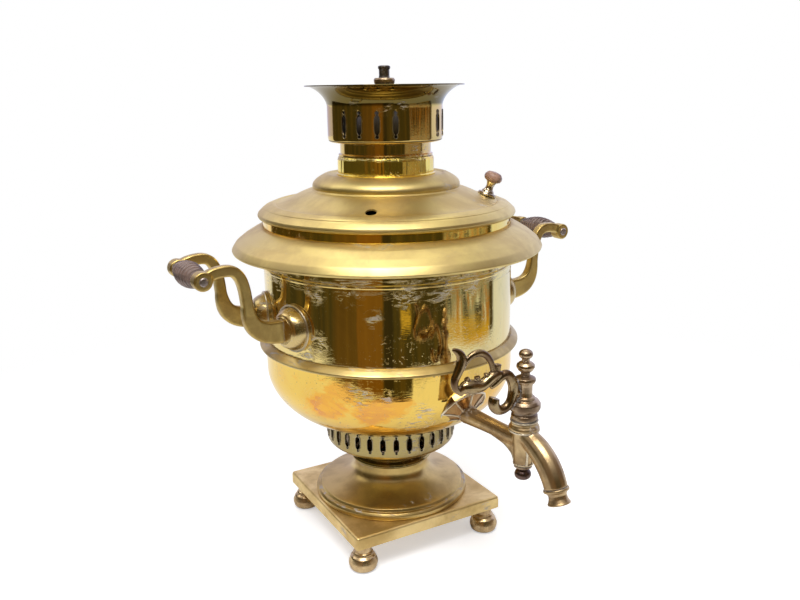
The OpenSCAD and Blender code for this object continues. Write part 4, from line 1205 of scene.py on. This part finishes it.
def make_arm(side, end, name):
    line = arm_line()
    sides = ([], [])
    for i, here in enumerate(line):
        before, after = Vector(line[max(i - 1, 0)]), Vector(line[min(i + 1, len(line) - 1)])
        along = (after - before).normalized()
        for ring, way in ((sides[0], 1), (sides[1], -1)):
            out = Vector((along.y, -along.x)) * way * arm_depth(i) / 2
            ring.append((here[0] + out.x, here[1] + out.y))
    half = 4.0
    bm = thicken(bmesh.new(), [(x, -half, z) for x, z in sides[0] + sides[1][::-1]], (0, 2 * half, 0))
    rims = [e for e in bm.edges if abs(e.verts[0].co.y - e.verts[1].co.y) < 1e-7]
    soften(bm, rims, 1.5, 4)
    boss = [(0, -5, 0), (7.6, -5, 1.2), (7.6, 5, 1.2), (0, 5, 0)]
    boss = moved(lathe(rounded(boss), False, 48), turn("X", 90), shift(grip_reach, 0, grip_level))
    whole = moved(join(bm, boss), shift(0, end * arm_y, 0))
    made = object_of("handle_arm_" + name, on_side(whole, side), arm_finish)
    cast(made, 0.55, 3)
    settle(made, arm_finish, "root", "arm_" + name)


def make_rosette(side, end, name):
    r, front = 20.0, 13.0
    turned_by = asin(arm_y / (body_r + 6))
    corners = [(0, -2, 0), (r, -2, 0), (r, 1.9, 0.7), (r - 1.4, 2.6, 0.5)]
    corners += curve((r - 1.9, 2.7), (r - 3.0, 7), (r - 5.6, front - 1.4), (r - 7.8, front - 0.9), 10)
    corners += [(r - 8.6, front, 0.6), (0, front, 0)]
    place = (turn("Y", 90), shift(body_r, 0, arm_level), Matrix.Rotation(end * turned_by, 4, "Z"))
    bm = on_side(moved(lathe(rounded(corners), False, 96), *place), side)
    for v in bm.verts:
        out = hypot(v.co.x, v.co.y)
        if out < (body_r + 0.2) * MM:
            v.co.xy *= (body_r + 0.2) * MM / out
    piece("wall_rosette_" + name, bm, rosette_finish, "root", "rosette_" + name)
    # A thin pale ring round the rosette's rim: a painted highlight.
    line = [
        (r - 1.2, 2.0, 0), (r - 0.2, 1.6, 0.3), (r + 0.25, 2.1, 0.3), (r - 0.3, 2.9, 0.3), (r - 1.2, 2.8, 0)]
    line = moved(lathe(rounded(line, True), around=96), *place)
    piece("rosette_line_" + name, on_side(line, side), rim_highlight_finish, "root")


def make_grip(side, name):
    half, rings, big, small = arm_y - 5.4, 11, 10.6, 6.0
    pitch = 2 * half / rings
    corners = [(2.7, -half, 0)]
    for i in range(rings):
        start = -half + i * pitch
        for part, cut in ((0.0, 2.1), (0.24, 0.2), (0.5, 0.0), (0.76, 0.2)):
            y = start + part * pitch
            corners.append(
                (small + (big - small) * cos(pi / 2 * y / half) - cut, y, 0.5 if cut < 1 else 0.2))
    corners += [(small - 1.5, half, 0), (2.7, half, 0)]
    bm = moved(lathe(rounded(corners, True), around=72), turn("X", 90), shift(grip_reach, 0, grip_level))
    piece("turned_grip_" + name, on_side(bm, side), grip_finish, name + "_grip", "grip_" + name)
    rods = moved(bar(2.5, 60, 32), turn("X", 90), shift(grip_reach, 0, grip_level))
    for end in (-1, 1):
        dome = [(0, 4.6, 0), (3.6, 4.6, 0), (3.6, 5.6, 0.5), (2.8, 6.2, 0.6), (0, 6.4, 0)]
        head = moved(
            lathe(rounded(dome), False, 32), turn("X", -90 * end),
            shift(grip_reach, end * arm_y, grip_level))
        rods = join(rods, head)
    piece("rod_" + name, on_side(rods, side), rod_finish, "root", "grip_rod_" + name)


rod_finish = aged(
    "rod_metal", rgb(0.66, 0.58, 0.56), rgb(0.30, 0.25, 0.23), crease=1.0, gloss=0.3, bite=2.0,
    spots=((-grip_reach, -arm_y - 6, grip_level, 5), (grip_reach, -arm_y - 6, grip_level, 5)))
for side, side_name in ((-1, "left"), (1, "right")):
    for end, end_name in ((-1, "front"), (1, "rear")):
        make_arm(side, end, side_name + "_" + end_name)
        make_rosette(side, end, side_name + "_" + end_name)
    make_grip(side, side_name)


# ---- Tap ----
def at_tap(bm):
    return moved(bm, turn("Z", -90))


def on_plug(bm):
    return moved(bm, shift(tap_reach, 0, 0), turn("Z", -90))


def make_flange():
    """Eight hollow facets between raised ribs, sunk into the bowl at their edge."""
    tilt, corner, root = 37.0, 22.4, 7.4
    centre = Vector((bowl_r - 6.3, 0, tube_level + 3.2))
    bm = bmesh.new()
    rows = []
    steps = 9
    for k in range(steps + 1):
        t = k / steps
        reach = root + (corner - root) * (1 - t) ** 1.6
        hollow = 0.975 - 0.05 * sin(pi * t)
        rows.append([(reach * (hollow if i % 2 else 1.0), i * 22.5, 7.0 * t) for i in range(16)])
    rings = [[vertex(bm, reach, radians(angle), height) for reach, angle, height in row] for row in rows]
    for lower, upper in zip(rings, rings[1:]):
        bridge(bm, lower, upper)
    bm.faces.new(rings[-1])
    skirt = [bm.verts.new((v.co.x, v.co.y, -9 * MM)) for v in rings[0]]
    bridge(bm, skirt, rings[0])
    bm.faces.new(skirt[::-1])
    ribs = []
    path = [(row[0][0], row[0][2]) for row in rows]
    for i in range(16):
        if i % 2 == 0:
            ribs.append(moved(limb(path, [0.8] * len(path), 1.0, 3), turn("Z", i * 22.5)))
        a, b = rings[0][i].co.copy(), rings[0][(i + 1) % 16].co.copy()
        side = limb([(0, 0), (0.5 * (a - b).length / MM, 0), ((a - b).length / MM, 0)], [0.95] * 3, 1.0, 3)
        way = (b - a).normalized()
        ribs.append(moved(side, Matrix.Rotation(atan2(way.y, way.x), 4, "Z"), Matrix.Translation(a)))
    place = (turn("Y", 90 + tilt), Matrix.Translation(centre * MM), turn("Z", -90))
    made = object_of("tap_plate", moved(bm, *place), flange_finish, sharp=20)
    settle(made, flange_finish, "root", "tap_flange")
    # The flange's thin ribs are pale: painted highlight lines.
    piece("tap_plate_ribs", moved(join(*ribs), *place), rib_highlight_finish, "root")


def make_tap():
    collar_low, collar_high = tube_level + 9.5, tube_level + 18.5
    spout_start, spout_end, bend = radians(13), radians(spout_down), 49.0
    start = Vector((tap_reach, tube_level + 6.0))
    middle = start - bend * Vector((sin(spout_start), cos(spout_start)))
    tube = limb(
        [(bowl_r - 1, tube_level), (bowl_r + 6, tube_level), (bowl_r + 30, tube_level),
            (tap_reach, tube_level)],
        [8.2, 7.6, 6.6, 6.3], 0.95)
    steps = 12
    bow = []
    for k in range(steps + 1):
        angle = spout_start + (spout_end - spout_start) * k / steps
        bow.append((middle.x + bend * sin(angle), middle.y + bend * cos(angle)))
    thick = [7.8, 8.0, 8.3, 8.6, 8.9, 9.1, 9.2, 9.3, 9.3, 9.3, 9.2, 9.1, 9.0]
    spout = limb([(tap_reach - 2, tube_level + 5.8)] + bow, [7.4] + thick)
    corners = at(0, barrel_low, [(0, 0, 0), (7.0, 0, 0.6), (7.4, 3, 1)])
    corners += at(0, collar_low, [
        (8.6, 0.5, 0), (9.6, 0, 0.5), (11.6, 1.2, 0.8), (12, 3.2, 1.2), (11.0, 4.9, 0.8), (10.1, 5.7, 0.3),
        (10.7, 7.2, 0.9)])
    corners += [(9.8, collar_high, 0.4), (0, collar_high, 0)]
    barrel = moved(lathe(rounded(corners), False, 72), shift(tap_reach, 0, 0))
    outline = [(tap_reach - 2, tube_level - 3), (tap_reach - 34, tube_level - 5.2)]
    outline += plain(
        curve((tap_reach - 34, tube_level - 5.6), (tap_reach - 18, tube_level - 7.5),
            (tap_reach - 10, tube_level - 12), (tap_reach - 7, barrel_low + 1), 14))
    web = thicken(bmesh.new(), [(x, -3.4, z) for x, z in outline], (0, 6.8, 0))
    whole = at_tap(join(tube, spout, barrel, web))
    made = object_of("tap_casting", whole, tap_finish)
    cast(made, 0.6, 4)
    settle(made, tap_finish, "root", "tap_body")
    # Thin rings at the collar and barrel and ridges down the barrel and web, all pale: painted highlight
    # lines.
    lines = []
    for r, z, thick in (
            (12.1, collar_low + 0.9, 0.55), (10.9, collar_high - 0.5, 0.45), (7.9, barrel_low + 1.1, 0.6)):
        edge = [(r - 2, z - thick, 0), (r, z - thick, 0.3), (r, z + thick, 0.3), (r - 2, z + thick, 0)]
        lines.append(moved(lathe(rounded(edge, True), around=72), shift(tap_reach, 0, 0)))
    for across in (-3.0, 3.0):
        ridge = limb(
            [(tap_reach + 7.4, barrel_low + 1), (tap_reach + 7.9, barrel_low + 9),
                (tap_reach + 8.5, collar_low - 1)],
            [0.9, 0.9, 0.8], 1.0, 3)
        lines.append(moved(ridge, shift(-0.5, across, 0)))
    for across in (-2.6, 2.6):
        ridge = limb(
            [(tap_reach - 7.2, barrel_low + 1), (tap_reach - 9.0, barrel_low + 7),
                (tap_reach - 17, tube_level - 7.4), (tap_reach - 33, tube_level - 5.5)],
            [1.0, 1.0, 0.9, 0.7], 1.0, 3)
        lines.append(moved(ridge, shift(0, across, 0)))
    piece("tap_ridges", at_tap(join(*lines)), rib_highlight_finish, "root")
    end = (middle.x + bend * sin(spout_end), middle.y + bend * cos(spout_end))
    r = 8.2
    corners = [
        (4.4, 5.2, 0), (5.8, 0.2, 0), (r + 1.4, 0, 0.3), (r + 1.7, 0.7, 0.4), (r + 1.5, 2.0, 0.5),
        (r - 0.4, 3.2, 0.5), (r - 1.3, 5.2, 1.5), (r - 1.0, 7.6, 3), (r - 0.1, 10.0, 1),
        (r + 0.6, 11.2, 0.4), (r + 0.4, 11.9, 0.3), (4.5, 11.9, 0.4)]
    bm = moved(
        lathe(rounded(corners, True), around=72), turn("Y", 90 + spout_down), shift(end[0], 0, end[1]),
        turn("Z", -90))
    piece("spout_nozzle", bm, tap_finish, "root", "tap_nozzle")


def make_key():
    z = tube_level + 18.8
    corners = at(0, z, [
        (0, 0, 0), (9.4, 0, 0.4), (10.3, 1.6, 0.9), (10.1, 4.2, 0.8), (8.8, 5.2, 0.4), (8.8, 6.6, 0.4),
        (11.2, 7.6, 0.8), (12.2, 9.6, 1.4), (12.2, 13.4, 1.6), (10.4, 15.8, 0.8), (7.7, 16.4, 0.4),
        (7.7, 18.3, 0.6), (5.9, 18.9, 0.3), (5.6, 22, 2), (5.6, 27, 2), (6.2, 29.6, 0.3), (0, 29.6, 0)])
    piece("plug_rings", on_plug(lathe(rounded(corners), False, 72)), key_finish, "tap_key", "tap_plug")
    f = tube_level + 48.4
    corners = at(0, f, [
        (0, 0, 0), (7.2, 0, 0.4), (8.1, 1.8, 0.8), (7.8, 3.8, 0.8), (5.6, 4.8, 0.6), (3.5, 5.8, 0.5),
        (3.5, 8.2, 0.4), (5.4, 9.6, 0.8), (7.1, 12.4, 1.4), (6.8, 14.4, 0.9), (5.0, 16, 0.7), (3.0, 17, 0.4),
        (3.0, 19, 0.3)])
    corners += curve((3.2, f + 19.2), (6.6, f + 20.6), (6.4, f + 26), (0, f + 26.3), 10)
    piece("key_finial", on_plug(lathe(rounded(corners), False, 64)), key_finish, "tap_key", "tap_finial")
    n = barrel_low - 12.6
    nut = [(0, n, 0)] + curve((2.6, n + 0.1), (7.6, n + 0.9), (7.4, n + 6.2), (4.2, n + 8), 14)
    nut += [(3.7, n + 8.4, 0.3), (3.7, barrel_low - 2.1, 0.3), (0, barrel_low - 2.1, 0)]
    piece("plug_nut", on_plug(lathe(rounded(nut), False, 48)), nut_finish, "tap_key", "tap_nut")


# The cast scrolls of the key: points (distance from the plug, height), half thicknesses, and flatness.
branch_limbs = (
    ([(7, 187), (11, 187.5), (13, 188)], [3.2, 3.0, 2.6], 1.0),
    ([(27, 187.0), (28.6, 182.4), (24.4, 176.4), (17.8, 176.4), (12.8, 180.8), (11.0, 187), (10.4, 193),
      (12.6, 200), (17, 204.4), (22, 203), (26.5, 198.5), (31, 196.2)],
     [4.2, 4.6, 4.0, 3.6, 3.7, 4.0, 4.1, 4.0, 3.8, 3.4, 2.9, 2.2], 0.95),
    ([(21, 205), (26, 205.4), (31, 203.4), (36, 199.8), (41, 198.2), (47, 199.6), (52.4, 200.2), (55, 197.6),
      (56, 194.6)],
     [2.2, 3.8, 4.4, 4.4, 4.8, 5.4, 5.0, 3.2, 1.8], 1.0),
    ([(50.6, 200), (50.4, 196), (49.8, 192.4)], [2.6, 2.0, 1.3], 1.0),
    ([(45.4, 199), (45.2, 195), (44.6, 192.6)], [2.6, 2.0, 1.3], 1.0),
    ([(25, 204), (25.2, 209), (24.6, 213.2)], [2.2, 2.1, 2.9], 1.0),
    ([(41.2, 201), (42.0, 204), (42.4, 206.4)], [1.8, 1.9, 2.5], 1.0),
    ([(34, 201), (34.4, 204.4), (34.2, 207.6)], [1.8, 2.0, 2.4], 1.0),
    ([(49, 201), (50, 204.4), (51.4, 206.6)], [2.0, 2.0, 2.2], 1.0),
    ([(27.6, 203), (28.8, 210), (30.6, 216), (34.4, 221.6), (40, 224.6), (46, 224), (50.8, 220.8),
      (54, 215.8), (57.6, 211.4)],
     [2.4, 2.3, 2.4, 2.6, 2.8, 2.6, 2.2, 1.9, 1.6], 0.9),
    ([(62.8, 230.2), (57.6, 227.6), (55, 221.8), (56.4, 216), (59.4, 210.6), (61.6, 205.4), (60.8, 200.6),
      (57.6, 197), (54.6, 194.4)],
     [1.2, 3.2, 4.0, 3.9, 3.6, 3.2, 2.8, 2.4, 1.7], 0.8),
)


def make_branch():
    bars = [limb(points, radii, flat, 6) for points, radii, flat in branch_limbs]
    pin = moved(bar(3.4, 5, 32), turn("Y", 90), shift(8.6, 0, 187.8))
    whole = join(*bars, pin)
    moved(whole, turn("Z", -100), shift(tap_reach, 0, 0), turn("Z", -90))
    made = object_of("key_branch", whole, branch_finish)
    cast(made, 0.42, 2)
    settle(made, branch_finish, "tap_key", "tap_branch")


flange_finish = aged("flange_brass", rgb(0.52, 0.31, 0.11), rgb(0.27, 0.13, 0.05), crease=0.9, gloss=0.18)
# Pale ribs and ridges on the tap and its flange: painted highlight lines along their edges.
rib_highlight_finish = aged("rib_highlight_brass", rgb(0.86, 0.78, 0.60), rgb(0.60, 0.48, 0.30), crease=0.6, gloss=0.28)
tap_finish = aged(
    "tap_brass", rgb(0.68, 0.50, 0.26), rgb(0.40, 0.27, 0.14), crease=0.9, gloss=0.33,
    spots=((0, -bowl_r - 8, tube_level + 2, 9), (0, -tap_reach - 8, 160, 7), (0, -tap_reach + 4, 124, 9)))
branch_finish = aged(
    "branch_brass", rgb(0.42, 0.31, 0.16), rgb(0.18, 0.11, 0.06), crease=1.0, gloss=0.18, bite=2.0,
    spots=((-38, -189, 201, 11), (-48, -190, 199, 12), (-27, -187, 204, 9), (-57, -192, 205, 6),
        (-30, -188, 206, 7), (-43, -190, 206, 7)))
nut_finish = aged(
    "nut_metal", rgb(0.17, 0.11, 0.09), rgb(0.06, 0.04, 0.04), crease=0.3, gloss=0.3, slot="dark_metal")
make_flange()
make_tap()
make_key()
make_branch()


# ---- Inner pieces keep their CAD shapes ----
# Near-black on the fire tube, cone, chimney pipe and grate ring: soot, darkened further as painted shade.
soot_and_shade = aged("soot_and_shade_brass", rgb(0.010, 0.007, 0.004), rgb(0.005, 0.004, 0.003), crease=0.0, gloss=0.6)
casting = aged(
    "grate_iron", rgb(0.10, 0.09, 0.09), rgb(0.04, 0.035, 0.035), crease=0.0, gloss=0.55, slot="cast_iron")
for node, finish in (
        ("fire_tube", soot_and_shade), ("fire_cone", soot_and_shade), ("chimney_pipe", soot_and_shade), ("grate_ring", soot_and_shade),
        ("fire_grate", casting), ("arm_nuts", arm_finish), ("knob_nut", knob_brass),
        ("tap_washer", key_finish)):
    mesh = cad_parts[node].data
    mesh.materials.clear()
    mesh.materials.append(finish.material)
